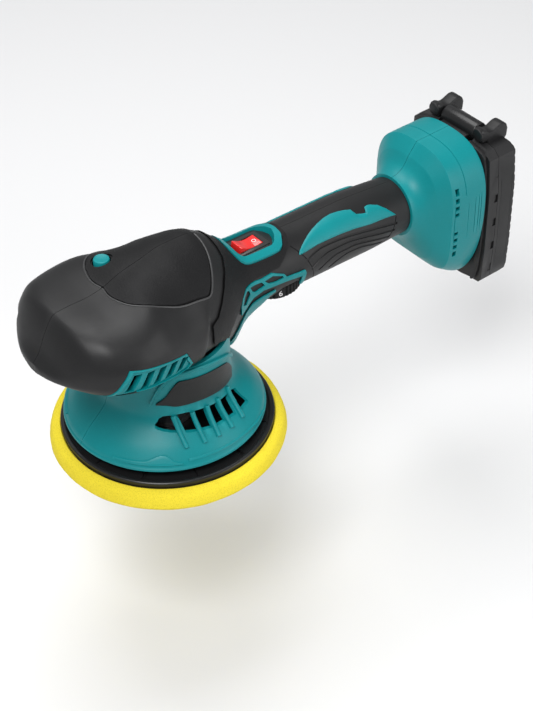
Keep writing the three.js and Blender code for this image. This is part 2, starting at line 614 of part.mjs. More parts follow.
function electronics() {
  const boardFront = DIAL_X + DIAL_R + 1.5;
  add("control_board", box(boardFront, 164, -13, 13, 82, 83.6), board);
  const fins = Array.from({ length: 5 }, (_, i) => box(110, 140, -10 + 4.5 * i, -8 + 4.5 * i, 84.5, 92));
  add("heat_sink", union(box(110, 140, -10, 10, 83.9, 85.5), ...fins), steel);
  const blades = [-11, -4, 4, 11].map((y) => box(DOCK_X, PACK_X + 2, y - 0.5, y + 0.5, 50, 72));
  add("terminal_block", union(box(DOCK_X - 10, DOCK_X + GAP, -15, 15, 45, 76), ...blades), black);
  const lead = (y) => wire([[DOCK_X - 10.4, y, 66], [GRIP_END + 29, y, 70], [GRIP_END + 9, y * 0.8, 80],
    [GRIP_END - 6, y * 1.6, 77], [158, y * 1.4, 80.2]], 1.3, 16);
  add("power_lead_red", lead(4), red);
  add("power_lead_black", lead(-4), black);
  add("motor_lead", wire([[103.5, 10, 86], [90, 12, 88.5], [74, 12.5, 92], [58, 11.5, 96], [46, 7, 102],
    [STATOR_R + 3, 2, 107]], 1.8, 16), black);
}

// ---- Battery ------------------------------------------------------------------------------

const PACK_SPLIT = PACK_X + 10;
const CELL_X = PACK_X + RAIL_DEPTH + PACK_WALL + 0.4 + CELL_R;
const PACK_END = CELL_X + CELL_R + 0.4 + PACK_WALL;
const CELL_Z = PACK_BOTTOM + PACK_WALL + 2 + CELL_R;
const CELL_STEP = 2 * CELL_R + CELL_SPACE;
const PACK_TOP = CELL_Z + (CELLS - 1) * CELL_STEP + CELL_R + 11.5;
const BUTTON_LOW = PACK_TOP - 5.2;
const BUTTON_FLOOR = BUTTON_LOW - LATCH_TRAVEL - 3;
const FIN_Y = 20.6;
const FIN_HALF = 4.5;
const PACK_CORNER = 9; // lower corners of the case, seen from the front

function battery() {
  const inside = box(PACK_X + RAIL_DEPTH + PACK_WALL, PACK_END - PACK_WALL, -PACK_HALF + 5, PACK_HALF - 5,
    PACK_BOTTOM + 2, CELL_Z + (CELLS - 1) * CELL_STEP + CELL_R + GAP);
  const buttonSpace = box(PACK_X - 1, PACK_SPLIT + 12, -16, 16, BUTTON_FLOOR, PACK_TOP + 9);
  const chamfer = 6;
  const caseEnd = (half, low, corner) => lengthways([
    [-half, PACK_TOP - 5], [-half, low + 1.4 * corner], [-half + corner, low], [half - corner, low],
    [half, low + 1.4 * corner], [half, PACK_TOP - 5], [half - 5, PACK_TOP], [5 - half, PACK_TOP],
  ], PACK_X - 1, PACK_END + 1);
  const outer = caseEnd(PACK_HALF, PACK_BOTTOM + 1, PACK_CORNER / 2);
  const face = box(PACK_X, PACK_X + 3.6, -PACK_HALF, PACK_HALF, PACK_BOTTOM - 1.5, PACK_TOP)
    .intersect(caseEnd(PACK_HALF - 2, PACK_BOTTOM - 1.5, PACK_CORNER));
  const front = sideways([
    [PACK_X + 2, PACK_BOTTOM + 1], [PACK_SPLIT, PACK_BOTTOM + 1], [PACK_SPLIT, PACK_TOP],
    [PACK_X + 2 + chamfer, PACK_TOP], [PACK_X + 2, PACK_TOP - chamfer],
  ], -PACK_HALF, PACK_HALF).intersect(outer);
  const channelHalf = RAIL_Y + 4.5;
  const channel = box(PACK_X - 1, PACK_X + RAIL_DEPTH, -channelHalf, channelHalf, PACK_BOTTOM - 5,
    RAIL_HIGH + 1);
  const lips = [[RAIL_Y + 2.4, RAIL_Y + 6], [-RAIL_Y - 6, -RAIL_Y - 2.4]].map(([y0, y1]) =>
    box(PACK_X, PACK_X + RAIL_DEPTH - 2.6, y0, y1, PACK_BOTTOM - 1.5, RAIL_HIGH + 2));
  const slots = box(PACK_X - 1, PACK_X + RAIL_DEPTH + 0.3, -13, 13, PACK_BOTTOM - 5, 73.5);
  add("pack_front", union(cut(face.add(front), inside, channel, buttonSpace, slots), ...lips), black);

  const x0 = PACK_SPLIT + GAP;
  const back = sideways([
    [x0, PACK_BOTTOM + 1], [PACK_END - chamfer, PACK_BOTTOM + 1], [PACK_END, PACK_BOTTOM + 1 + chamfer],
    [PACK_END, PACK_TOP - 4], [PACK_END - 4, PACK_TOP], [x0, PACK_TOP],
  ], -PACK_HALF, PACK_HALF).intersect(outer);
  const fin = (y) => sideways([
    [PACK_X + 5, PACK_TOP + GAP], [x0, PACK_TOP + GAP], [x0, PACK_TOP - 6], [PACK_END - 1, PACK_TOP - 6],
    [PACK_END + 3, PACK_TOP - 3], [PACK_END + 3.5, PACK_TOP + 4], [PACK_END, PACK_TOP + 9],
    [PACK_END - 5, PACK_TOP + 9], [PACK_X + 13, PACK_TOP + 8], [PACK_X + 9, PACK_TOP + 9],
    [PACK_X + 5, PACK_TOP + 7],
  ], y - FIN_HALF, y + FIN_HALF);
  add("pack_rear", union(cut(back, inside, buttonSpace), fin(-FIN_Y), fin(FIN_Y)), black);

  const cell = (z) => crossBar(CELL_R, CELL_X, z, -CELL_LENGTH / 2, CELL_LENGTH / 2, 16);
  for (let i = 0; i < CELLS; i++) add(`cell_${i + 1}`, cell(CELL_Z + i * CELL_STEP), wrap);
  const buttonZ = PACK_TOP + 1.5;
  const button = union(
    crossBar(6.5, PACK_SPLIT + 2, buttonZ, -15, 15, SMALL),
    box(PACK_X + 1, PACK_SPLIT + 8, -12, 12, BUTTON_LOW, PACK_TOP + 1));
  add("release_button", button, black);
  add("release_spring", spring(PACK_SPLIT + 2, 0, BUTTON_FLOOR + GAP, BUTTON_LOW - GAP, 3, 3, 0.4), steel);
  add("pack_contacts", box(PACK_X + 2 + GAP, PACK_X + RAIL_DEPTH, -12, 12, 44, 73), steel);
}

shroud();
bonnet();
grilles();
handle();
controls();
motor();
fan();
eccentric();
pad();
shaftLock();
rearHousing();
housingScrews();
electronics();
battery();

export default root;
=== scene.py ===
"""A cordless dual action polisher: its visible pieces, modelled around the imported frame."""
import math

import bmesh
import bpy
import numpy as np
from bpy.props import FloatProperty, FloatVectorProperty, IntProperty, PointerProperty
from mathutils import Matrix, Vector


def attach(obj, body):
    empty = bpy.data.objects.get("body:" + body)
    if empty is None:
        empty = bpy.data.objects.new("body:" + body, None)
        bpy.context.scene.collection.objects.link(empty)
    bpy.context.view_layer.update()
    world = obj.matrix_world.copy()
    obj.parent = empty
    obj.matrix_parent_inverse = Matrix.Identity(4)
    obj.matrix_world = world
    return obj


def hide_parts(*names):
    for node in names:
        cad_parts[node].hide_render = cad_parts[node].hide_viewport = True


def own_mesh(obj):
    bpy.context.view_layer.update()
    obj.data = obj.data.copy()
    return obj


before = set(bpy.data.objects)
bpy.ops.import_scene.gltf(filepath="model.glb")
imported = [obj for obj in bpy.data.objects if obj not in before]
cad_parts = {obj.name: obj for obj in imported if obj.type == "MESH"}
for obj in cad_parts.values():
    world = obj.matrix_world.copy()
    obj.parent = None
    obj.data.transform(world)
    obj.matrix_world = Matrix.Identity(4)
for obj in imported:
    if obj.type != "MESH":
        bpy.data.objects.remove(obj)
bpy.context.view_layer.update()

bl_info = {
    "name": "Dual action polisher",
    "version": (1, 0, 0),
    "blender": (4, 5, 0),
    "location": "View3D > Sidebar > Polisher",
    "description": "Models the visible pieces of a cordless dual action polisher",
    "category": "Object",
}

MM = 0.001
SEAM = 0.15  # half the gap between the two clamshells
PROUD = 1.2  # how far the coloured and soft panels stand out
WALL = 3.0
FAR = 60  # further out than any side of the body
GRIP_END = 186.0
NECK_R, NECK_TOP, RIM_R, RIM_Z = 42.0, 81, 63.5, 20.0
PACK_X, PACK_SPLIT, PACK_END, PACK_HALF, PACK_TOP, PACK_LOW = 236.6, 246.6, 261.8, 38.0, 122.1, 15.5
PAD_Y = -2.5
SCREW_R = 3.8  # recesses for the housing's screws, each at x, z
HEAD_SCREW, GRIP_SCREW, DOCK_SCREW = (-74, 107), (174, 87), (213, 102)
LOCK_AT = (-25, 19)  # the shaft lock's button, at x, y
ROCKER_X, ROCKER_Z = 67.0, 108.0
ROCKER_REST = 10  # degrees the rocker leans when off
DIAL_X, DIAL_R, DIAL_Z, DIAL_H = 84.5, 20.5, 74.5, 8.0


# ---- Measures along and around the body ---------------------------------------------------

def along(points):
    """A smooth value through [x, value] points, without overshoot."""
    xs, vs = (np.array(c, float) for c in zip(*points))
    h = np.diff(xs)
    d = np.diff(vs) / h
    m = np.concatenate([[d[0]], np.zeros(len(xs) - 2), [d[-1]]])
    for i in range(1, len(xs) - 1):
        if d[i - 1] * d[i] > 0:
            w1, w2 = 2 * h[i] + h[i - 1], h[i] + 2 * h[i - 1]
            m[i] = (w1 + w2) / (w1 / d[i - 1] + w2 / d[i])

    def value(x):
        x = min(max(x, xs[0]), xs[-1])
        i = min(max(int(np.searchsorted(xs, x)) - 1, 0), len(xs) - 2)
        t = (x - xs[i]) / h[i]
        return float((2 * t**3 - 3 * t**2 + 1) * vs[i] + (t**3 - 2 * t**2 + t) * h[i] * m[i]
                     + (3 * t**2 - 2 * t**3) * vs[i + 1] + (t**3 - t**2) * h[i] * m[i + 1])
    return value


def straight(points):
    """A value through [x, value] points, straight from each to the next."""
    xs, vs = zip(*points)
    return lambda x: float(np.interp(x, xs, vs))


def soft_step(t):
    t = min(max(t, 0.0), 1.0)
    return t * t * (3 - 2 * t)


class Form:
    """A rounded body along X: half width, top, middle and bottom heights, and how square it is."""

    def __init__(self, half, top, middle, bottom, upper, lower, smooth=along):
        self.tables = [smooth(t) for t in (half, top, middle, bottom, upper, lower)]

    def ring(self, x, grow, count, raised=None):
        half, top, middle, bottom, upper, lower = (t(x) for t in self.tables)
        ring = []
        for j in range(count):
            a = 2 * math.pi * j / count
            c, s = math.cos(a), math.sin(a)
            n = upper if s > 0 else lower
            reach = top - middle if s > 0 else middle - bottom
            y = half * math.copysign(abs(c) ** (2 / n), c)
            z = middle + reach * math.copysign(abs(s) ** (2 / n), s)
            g = grow + (raised(x, y, z) if raised else 0)
            ring.append((x, y + g * c, z + g * s))
        return ring

    def side(self, x, z, grow=0.0):
        """How far out the surface is at a height, on either side."""
        half, top, middle, bottom, upper, lower = (t(x) for t in self.tables)
        n = upper if z > middle else lower
        reach = (top - middle if z > middle else middle - bottom) + grow
        return (half + grow) * max(1 - min(abs(z - middle) / reach, 1) ** n, 0) ** (1 / n)

    def crown(self, x, y, grow=0.0):
        """The height of the upper surface at a distance from the middle."""
        half, top, middle, _, upper, _ = (t(x) for t in self.tables)
        return middle + (top - middle + grow) * max(
            1 - min(abs(y) / (half + grow), 1) ** upper, 0) ** (1 / upper)


BODY = Form(
    half=[(-88.5, 6), (-87, 14), (-84, 22.5), (-78, 33.5), (-70, 42), (-60, 48), (-45, 51.2), (-28, 50),
          (-10, 46), (5, 42.8), (18, 38.5), (30, 33), (42, 26.5), (55, 22), (70, 22), (100, 21.4),
          (150, 21.4), (170, 20.5), (186, 19.5)],
    top=[(-88.5, 100), (-84, 105.5), (-78, 118.5), (-71, 127.5), (-62, 128.2), (-50, 128), (-39, 129.4),
         (-25, 134.3), (-12, 137), (5, 140.3), (20, 140), (32, 135.7), (42, 127), (50, 119.7),
         (58, 113.9), (70, 112.4), (85, 111.9), (100, 111), (140, 110), (165, 107.7), (186, 105.5)],
    middle=[(-88.5, 97.5), (-70, 100), (20, 96), (50, 92.3), (100, 89.6), (150, 88.5), (186, 86)],
    bottom=[(-88.5, 94.5), (-84, 93), (-70, 87), (-40, 83), (0, 79), (15, 76), (30, 60), (38, 50),
            (44, 43.8), (47, 49), (52, 57.5), (60, 66), (70, 70), (85, 69.3), (100, 68.2), (130, 67.2),
            (165, 66.3), (186, 66.5)],
    upper=[(-88.5, 2), (-75, 2.4), (-60, 3.2), (-40, 3.3), (-20, 2.2), (0, 1.75), (20, 1.76), (35, 1.8),
           (50, 1.9), (70, 2), (186, 2)],
    lower=[(-88.5, 3), (-75, 2.6), (-60, 2.7), (-30, 3.6), (5, 4), (20, 3), (30, 2.4), (45, 1.7),
           (60, 2), (186, 2)],
)
DOCK = Form(
    half=[(186, 21.4), (188, 21.4), (189.5, 21.7), (191, 22.2), (193.5, 23.6), (196, 25.3), (198, 27.2),
          (200, 29.3), (207, 36.8), (212, 37.3), (236, 38)],
    top=[(186, 107.5), (188, 107.6), (191, 108.3), (193.5, 109.6), (196, 111.5), (198, 114.3), (200, 118),
         (207, 126.6), (236, 126.8)],
    middle=[(186, 86), (200, 84), (236, 84)],
    bottom=[(186, 64.5), (188, 63.6), (191, 61), (193.5, 57.5), (196, 53), (198, 49), (200, 45),
            (207, 37.5), (222, 25), (236, 13.5)],
    upper=[(186, 2), (194, 2.3), (200, 2.9), (207, 2.8), (236, 2.6)],
    lower=[(186, 2), (194, 2.6), (200, 4), (207, 5), (222, 3.6), (236, 2.2)],
    smooth=straight,
)
HEAD_STATIONS = [-88.5, -88.2, -87.7, -87, -86, -84.8, -83.4, -82, -80, -78, -76, -74, -72, -70] + [
    -68 + 2 * i for i in range(58)]
GRIP_STATIONS = [49 + 2.5 * i for i in range(55)] + [GRIP_END]


def span(first, last, step):
    count = max(int(round((last - first) / step)), 1)
    return [first + (last - first) * i / count for i in range(count + 1)]


# ---- Solids -------------------------------------------------------------------------------

def linked(name, data):
    made = bpy.data.objects.new(name, data)
    bpy.context.scene.collection.objects.link(made)
    return made


def new_object(name, bm):
    mesh = bpy.data.meshes.new(name)
    bm.to_mesh(mesh)
    bm.free()
    return linked(name, mesh)


def loft(rings):
    """A closed solid through rings of points."""
    count, around = len(rings), len(rings[0])
    bm = bmesh.new()
    bmesh.ops.create_grid(bm, x_segments=count - 1, y_segments=around, size=1)
    for v in bm.verts:
        i = round((v.co.x + 1) / 2 * (count - 1))
        j = round((v.co.y + 1) / 2 * around) % around
        v.co = rings[i][j]
    bmesh.ops.remove_doubles(bm, verts=bm.verts, dist=1e-4)
    bmesh.ops.holes_fill(bm, edges=[e for e in bm.edges if e.is_boundary], sides=0)
    bmesh.ops.recalc_face_normals(bm, faces=bm.faces)
    return new_object("solid", bm)


def body_part(stations, form, grow=0.0, around=112, raised=None):
    return loft([form.ring(x, grow, around, raised) for x in stations])


PLANES = {
    "up": lambda a, b, d: (a, b, d),
    "sideways": lambda a, b, d: (a, d, b),
    "lengthways": lambda a, b, d: (d, a, b),
}


def extruded(points, start, end, way):
    """Flat points made into a solid from one depth to another."""
    bm = bmesh.new()
    place = PLANES[way]
    face = bm.faces.new([bm.verts.new(place(a, b, start)) for a, b in points])
    grown = bmesh.ops.extrude_face_region(bm, geom=[face])
    moved = [v for v in grown["geom"] if isinstance(v, bmesh.types.BMVert)]
    bmesh.ops.translate(bm, verts=moved, vec=Vector(place(0, 0, end - start)))
    bmesh.ops.recalc_face_normals(bm, faces=bm.faces)
    return bm


def round_edges(bm, edges, offset):
    bmesh.ops.bevel(bm, geom=edges, offset=offset, offset_type="OFFSET", segments=3, profile=0.5,
                    affect="EDGES", material=-1, clamp_overlap=True)


def prism(points, start, end, way="up", bevel=0.0):
    """An outline of flat points, extruded one way, with all its edges rounded."""
    bm = extruded(points, start, end, way)
    if bevel:
        round_edges(bm, bm.edges[:], bevel)
    return new_object("solid", bm)


def block(x0, x1, y0, y1, z0, z1, bevel=0.0):
    return prism([(x0, y0), (x1, y0), (x1, y1), (x0, y1)], z0, z1, bevel=bevel)


def side_block(side, x0, x1, near, far, z0, z1):
    """A block from near to far out, on one side of the middle plane."""
    return block(x0, x1, *sorted((side * near, side * far)), z0, z1)


def turned(profile, x=0.0, y=0.0, steps=96):
    """A turned solid about a vertical axis; the profile is a loop of (radius, z) points."""
    bm = bmesh.new()
    loop = [bm.verts.new((r, 0, z)) for r, z in profile]
    closed = profile[0][0] > 0
    pairs = zip(loop, loop[1:] + loop[:1]) if closed else zip(loop, loop[1:])
    edges = [bm.edges.new(p) for p in pairs]
    bmesh.ops.spin(bm, geom=loop + edges, cent=(0, 0, 0), axis=(0, 0, 1), dvec=(0, 0, 0),
                   angle=2 * math.pi, steps=steps, use_merge=True, use_duplicate=False)
    bmesh.ops.remove_doubles(bm, verts=bm.verts, dist=1e-4)
    bmesh.ops.recalc_face_normals(bm, faces=bm.faces)
    bmesh.ops.translate(bm, verts=bm.verts, vec=(x, y, 0))
    return new_object("solid", bm)


def bar(radius, start, end, way="sideways", at=(0, 0), segments=32, bevel=0.0):
    """A round bar along Y, along X or upright."""
    circle = [(at[0] + radius * math.cos(2 * math.pi * i / segments),
               at[1] + radius * math.sin(2 * math.pi * i / segments)) for i in range(segments)]
    bm = extruded(circle, start, end, way)
    if bevel:
        round_edges(bm, [e for e in bm.edges if any(len(f.verts) > 4 for f in e.link_faces)], bevel)
    return new_object("solid", bm)


def tube(points, radius, sides=8):
    """A round tube along a path, for grooves and beads."""
    rings = []
    for i, p in enumerate(points):
        p = Vector(p)
        ahead = (Vector(points[min(i + 1, len(points) - 1)]) - Vector(points[max(i - 1, 0)])).normalized()
        across = ahead.cross(Vector((0, 0, 1))).normalized()
        up = across.cross(ahead)
        rings.append([tuple(p + radius * (math.cos(a) * across + math.sin(a) * up))
                      for a in (2 * math.pi * k / sides for k in range(sides))])
    return loft(rings)


def merge(*parts):
    """Puts separate solids that don't touch into one object."""
    first = parts[0]
    bm = bmesh.new()
    for p in parts:
        bm.from_mesh(p.data)
    bm.to_mesh(first.data)
    bm.free()
    for p in parts[1:]:
        bpy.data.objects.remove(p)
    return first


def shape(target, tool, how):
    """Cuts, joins or keeps the common part of two solids."""
    m = target.modifiers.new("shape", "BOOLEAN")
    m.operation, m.solver, m.object = how, "EXACT", tool
    graph = bpy.context.evaluated_depsgraph_get()
    made = bpy.data.meshes.new_from_object(target.evaluated_get(graph))
    target.modifiers.clear()
    target.data = made
    if len(made.polygons) == 0:
        raise RuntimeError(f"{target.name}: nothing is left of it")
    bpy.data.objects.remove(tool)
    return target


def cut(target, *tools):
    for tool in tools:
        shape(target, tool, "DIFFERENCE")
    return target


def common(target, *tools):
    for tool in tools:
        shape(target, tool, "INTERSECT")
    return target


def join(target, *tools):
    for tool in tools:
        shape(target, tool, "UNION")
    return target


def copy_of(part):
    return linked("solid", part.data.copy())


def mirrored(part):
    """A copy of a solid on the other side of the middle plane."""
    bm = bmesh.new()
    bm.from_mesh(part.data)
    bmesh.ops.scale(bm, vec=(1, -1, 1), verts=bm.verts)
    bmesh.ops.reverse_faces(bm, faces=bm.faces)
    return new_object("solid", bm)


def place_piece(part, name, body, nodes, finish, angle=34):
    """Names a finished solid, scales it to metres, gives it its finish and puts it on its body."""
    part.name = part.data.name = name
    part.data.transform(Matrix.Scale(MM, 4))
    part.data.polygons.foreach_set("use_smooth", [True] * len(part.data.polygons))
    part.data.set_sharp_from_angle(angle=math.radians(angle))
    part.data.materials.clear()
    part.data.materials.append(finish)
    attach(part, body)
    if nodes:
        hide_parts(*nodes)
    return part


def halves(part, name, body, finish, angle=34, raised=None):
    """Splits a solid on the middle plane into its two clamshell pieces, each with its raised details."""
    for side, low, high in (("left", SEAM, 120), ("right", -120, -SEAM)):
        half = common(copy_of(part), block(-200, 400, low, high, -50, 300))
        if raised:
            half = merge(half, mirrored(raised) if side == "left" else raised)
        place_piece(half, f"{name}_{side}_shell", body, [f"{name}_{side}"], finish, angle)
    bpy.data.objects.remove(part)


def pair(part, name, body, finish, angle=34):
    """Keeps a solid of the right side and adds its mirror image on the left."""
    place_piece(mirrored(part), f"{name}_left_panel", body, [f"{name}_left"], finish, angle)
    place_piece(part, f"{name}_right_panel", body, [f"{name}_right"], finish, angle)


# ---- Finishes -----------------------------------------------------------------------------

def shader(name, color, roughness, grain=0.0, grain_size=0.5, mottle=0.06, metallic=0.0, coat=0.0,
           specular=0.5, wave=0.0, cells=0.0, edge=0.35, sheen=0.0):
    """A moulded, rubbery or metal finish with fine grain, faint mottling and a painted highlight on its
    sharp edges.
    """
    made = bpy.data.materials.new(name)
    made.use_nodes = True
    nodes, links = made.node_tree.nodes, made.node_tree.links
    bsdf = nodes["Principled BSDF"]
    bsdf.inputs["Metallic"].default_value = metallic
    bsdf.inputs["Specular IOR Level"].default_value = specular
    bsdf.inputs["Coat Weight"].default_value = coat
    bsdf.inputs["Coat Roughness"].default_value = 0.15
    bsdf.inputs["Sheen Weight"].default_value = sheen
    place = nodes.new("ShaderNodeTexCoord").outputs["Object"]

    def noise(size, detail=3.0):
        n = nodes.new("ShaderNodeTexNoise")
        n.inputs["Scale"].default_value = 1 / (size * MM)
        n.inputs["Detail"].default_value = detail
        links.new(place, n.inputs["Vector"])
        return n.outputs["Fac"]

    def ranged(value, low, high):
        n = nodes.new("ShaderNodeMapRange")
        n.inputs["To Min"].default_value, n.inputs["To Max"].default_value = low, high
        links.new(value, n.inputs["Value"])
        return n.outputs["Result"]

    def mixed(a, b, factor, kind="MIX"):
        n = nodes.new("ShaderNodeMix")
        n.data_type, n.blend_type = "RGBA", kind
        links.new(factor, n.inputs["Factor"])
        for socket, value in ((n.inputs["A"], a), (n.inputs["B"], b)):
            if hasattr(value, "links"):
                links.new(value, socket)
            else:
                socket.default_value = (*value, 1)
        return n.outputs["Result"]

    dark = tuple(c * (1 - 2 * mottle) for c in color)
    light = tuple(min(c * (1 + 2 * mottle), 1) for c in color)
    base = mixed(dark, light, noise(22, 4))
    fine = noise(grain_size, 2)
    speck = tuple(min(c * 1.25 + 0.004, 1) for c in color)
    base = mixed(base, speck, ranged(fine, -0.9, 0.9) if grain else ranged(fine, -0.6, 0.5))
    if cells:
        v = nodes.new("ShaderNodeTexVoronoi")
        v.inputs["Scale"].default_value = 1 / (cells * MM)
        links.new(place, v.inputs["Vector"])
        base = mixed(tuple(c * 0.62 for c in color), base, ranged(v.outputs["Distance"], 0.35, 1.7))
        fine = v.outputs["Distance"]
    # Painted highlight: sharp convex edges get a lighter colour, as if the lamps caught them; edge sets
    # how strong it is.
    rim = nodes.new("ShaderNodeNewGeometry").outputs["Pointiness"]
    edge_highlight = nodes.new("ShaderNodeMapRange")
    for socket, value in (("From Min", 0.52), ("From Max", 0.62), ("To Min", 0.0), ("To Max", edge)):
        edge_highlight.inputs[socket].default_value = value
    links.new(rim, edge_highlight.inputs["Value"])
    base = mixed(base, tuple(min(c * 1.5 + 0.02, 1) for c in color), edge_highlight.outputs["Result"])
    links.new(base, bsdf.inputs["Base Color"])
    links.new(ranged(noise(9, 4), roughness - 0.07, roughness + 0.07), bsdf.inputs["Roughness"])
    bump = nodes.new("ShaderNodeBump")
    bump.inputs["Strength"].default_value = grain
    bump.inputs["Distance"].default_value = grain_size * 0.25 * MM
    links.new(fine, bump.inputs["Height"])
    if wave:
        lines = nodes.new("ShaderNodeTexWave")
        lines.inputs["Scale"].default_value = 1 / (wave * MM)
        lines.inputs["Distortion"].default_value = 1.5
        links.new(place, lines.inputs["Vector"])
        second = nodes.new("ShaderNodeBump")
        second.inputs["Strength"].default_value = 0.3
        second.inputs["Distance"].default_value = wave * 0.1 * MM
        links.new(lines.outputs["Fac"], second.inputs["Height"])
        links.new(bump.outputs["Normal"], second.inputs["Normal"])
        bump = second
    links.new(bump.outputs["Normal"], bsdf.inputs["Normal"])
    return made


FINISHES = {}


def finish(name):
    """The finish for a kind of surface, made once."""
    if name not in FINISHES:
        look = bpy.context.scene.polisher_looks
        teal, black, rubber, foam = (tuple(c) for c in (look.teal, look.black, look.rubber, look.foam))
        grain = look.grain
        # edge sets how strong the painted highlight on sharp edges is.
        kinds = {
            "teal": dict(color=teal, roughness=0.42, grain=0.12 * grain, grain_size=0.5, mottle=0.03,
                         specular=0.25),
            "black": dict(color=black, roughness=0.46, grain=0.3 * grain, grain_size=0.55, mottle=0.1,
                          specular=0.3),
            "rubber": dict(color=rubber, roughness=0.6, grain=1.0 * grain, grain_size=0.9, mottle=0.15,
                           specular=0.22),
            "lip": dict(color=(0.03, 0.03, 0.031), roughness=0.4, grain=0.1, specular=0.5),
            "smooth_black": dict(color=black, roughness=0.3, grain=0.1, grain_size=0.4, specular=0.35),
            "switch_black": dict(color=(0.012, 0.012, 0.012), roughness=0.3, grain=0.1),
            "red": dict(color=(0.62, 0.012, 0.01), roughness=0.22, grain=0.05, coat=0.5),
            "foam": dict(color=foam, roughness=0.92, grain=0.9, cells=0.9, mottle=0.03, edge=0.1,
                         specular=0.2),
            "hook": dict(color=(0.02, 0.02, 0.022), roughness=0.95, grain=1.0, cells=0.8, sheen=0.3),
            "white": dict(color=(0.6, 0.58, 0.58), roughness=0.5, grain=0.05),
            "dark": dict(color=(0.006, 0.006, 0.006), roughness=0.9, grain=0.2),
            "steel": dict(color=(0.5, 0.5, 0.52), roughness=0.32, metallic=1.0, grain=0.25, wave=0.6),
            "iron": dict(color=(0.16, 0.16, 0.17), roughness=0.5, metallic=1.0, grain=0.7, grain_size=1),
            "copper": dict(color=(0.5, 0.2, 0.08), roughness=0.35, metallic=1.0, grain=0.3, wave=1.1),
            "aluminium": dict(color=(0.65, 0.66, 0.68), roughness=0.42, metallic=1.0, grain=0.5),
            "board": dict(color=(0.02, 0.15, 0.06), roughness=0.35, grain=0.2, wave=2.4, coat=0.3),
            "wrap": dict(color=(0.05, 0.16, 0.4), roughness=0.3, grain=0.1, coat=0.3),
            "brass": dict(color=(0.7, 0.52, 0.2), roughness=0.3, metallic=1.0, grain=0.2),
            "lead_red": dict(color=(0.45, 0.015, 0.012), roughness=0.45, grain=0.2),
        }
        FINISHES[name] = shader(f"polisher_{name}", **kinds[name])
    return FINISHES[name]


# ---- Settings -----------------------------------------------------------------------------

class PolisherSizes(bpy.types.PropertyGroup):
    pad_radius: FloatProperty(name="Pad radius", description="Radius of the foam pad's face",
                              default=0.075, unit="LENGTH")
    groove_radius: FloatProperty(name="Groove radius", description="Radius of the grip's cut grooves",
                                 default=0.0009, unit="LENGTH")
    dial_teeth: IntProperty(name="Dial teeth", description="Knurls around the speed dial", default=44)
    pack_ribs: IntProperty(name="Battery ribs", description="Ribs down the battery's back edge",
                           default=13)
    floor_drop: FloatProperty(name="Floor drop", description="How far the floor lies under the pad",
                              default=0.134, unit="LENGTH")


class PolisherLooks(bpy.types.PropertyGroup):
    teal: FloatVectorProperty(name="Teal", description="Colour of the teal mouldings", size=3,
                              default=(0.0005, 0.19, 0.205), subtype="COLOR")
    black: FloatVectorProperty(name="Black", description="Colour of the black mouldings", size=3,
                               default=(0.009, 0.009, 0.0095), subtype="COLOR")
    rubber: FloatVectorProperty(name="Rubber", description="Colour of the soft panels", size=3,
                                default=(0.0045, 0.0045, 0.005), subtype="COLOR")
    foam: FloatVectorProperty(name="Foam", description="Colour of the foam pad", size=3,
                              default=(0.74, 0.6, 0.035), subtype="COLOR")
    grain: FloatProperty(name="Grain", description="Depth of the moulded grain", default=1.0)


# ---- Head ---------------------------------------------------------------------------------

# The seam behind the head cover, and the lips of the soft panel on top of it, seen from above.
COLLAR = [(6, 60), (8.2, 42), (14.4, 39.4), (20.3, 35.4), (26, 30.3), (31.6, 23.9), (35.6, 16.7),
          (36, 10.9), (35.4, 3)]
PANEL = [(-38, 0.1), (-39.4, 7.3), (-38.6, 13.8), (-35, 23.8), (-27.7, 31), (-14, 34.7), (0, 34.8),
         (12.6, 33.9), (16.4, 32.3), (21.3, 26.9), (25.6, 19.4), (28.1, 10.8), (28.1, 0.1)]
GRILLE = [(-68, 90.5), (-52.8, 93.2), (-14, 87.5), (-10.7, 90), (-15.5, 100.2), (-55.5, 109.8)]


def whole(outline):
    """A half outline with its mirror image."""
    return outline + [(x, -y) for x, y in reversed(outline)]


def moved_in(outline, inset):
    """An outline drawn in towards its own middle by about a distance."""
    cx = sum(p[0] for p in outline) / len(outline)
    cy = sum(p[1] for p in outline) / len(outline)
    made = []
    for x, y in outline:
        d = math.hypot(x - cx, y - cy)
        made.append((x - (x - cx) / d * inset, y - (y - cy) / d * inset))
    return made


def rounded(outline, passes=2, share=0.25):
    """An outline with its corners cut off again and again."""
    for _ in range(passes):
        made = []
        for (ax, ay), (bx, by) in zip(outline, outline[1:] + outline[:1]):
            made += [(ax + (bx - ax) * share, ay + (by - ay) * share),
                     (bx - (bx - ax) * share, by - (by - ay) * share)]
        outline = made
    return outline


def flank(x, y, z):
    """The raised flank around each grille, ending in a soft step behind it."""
    behind = soft_step((5 + 0.35 * (z - 95) - x) / 3)
    above = soft_step((118 - z) / 12)
    return 2.0 * behind * above * soft_step((x + 84) / 30) * soft_step((abs(y) - 25) / 12)


def side_blocks(outline, low, high):
    """A sideways cutter on each side of the body."""
    return merge(prism(outline, -high, -low, "sideways"), prism(outline, low, high, "sideways"))


def ahead_of_collar(gap=0.0):
    """Everything in front of the seam behind the head cover."""
    return prism(whole([(-150, 60)] + [(x + gap, y) for x, y in COLLAR])[::-1], -50, 250)


def neck_room(low, gap=0.3):
    return bar(NECK_R + gap, low, NECK_TOP, "up", segments=72)


def dial_room():
    return bar(DIAL_R + 0.8, DIAL_Z - 0.8, DIAL_Z + DIAL_H + 0.8, "up", at=(DIAL_X, 0), segments=64)


def screw_recess(at, depth):
    """A recess on the left side, from a depth outwards."""
    return bar(SCREW_R, depth, FAR, "sideways", at=at)


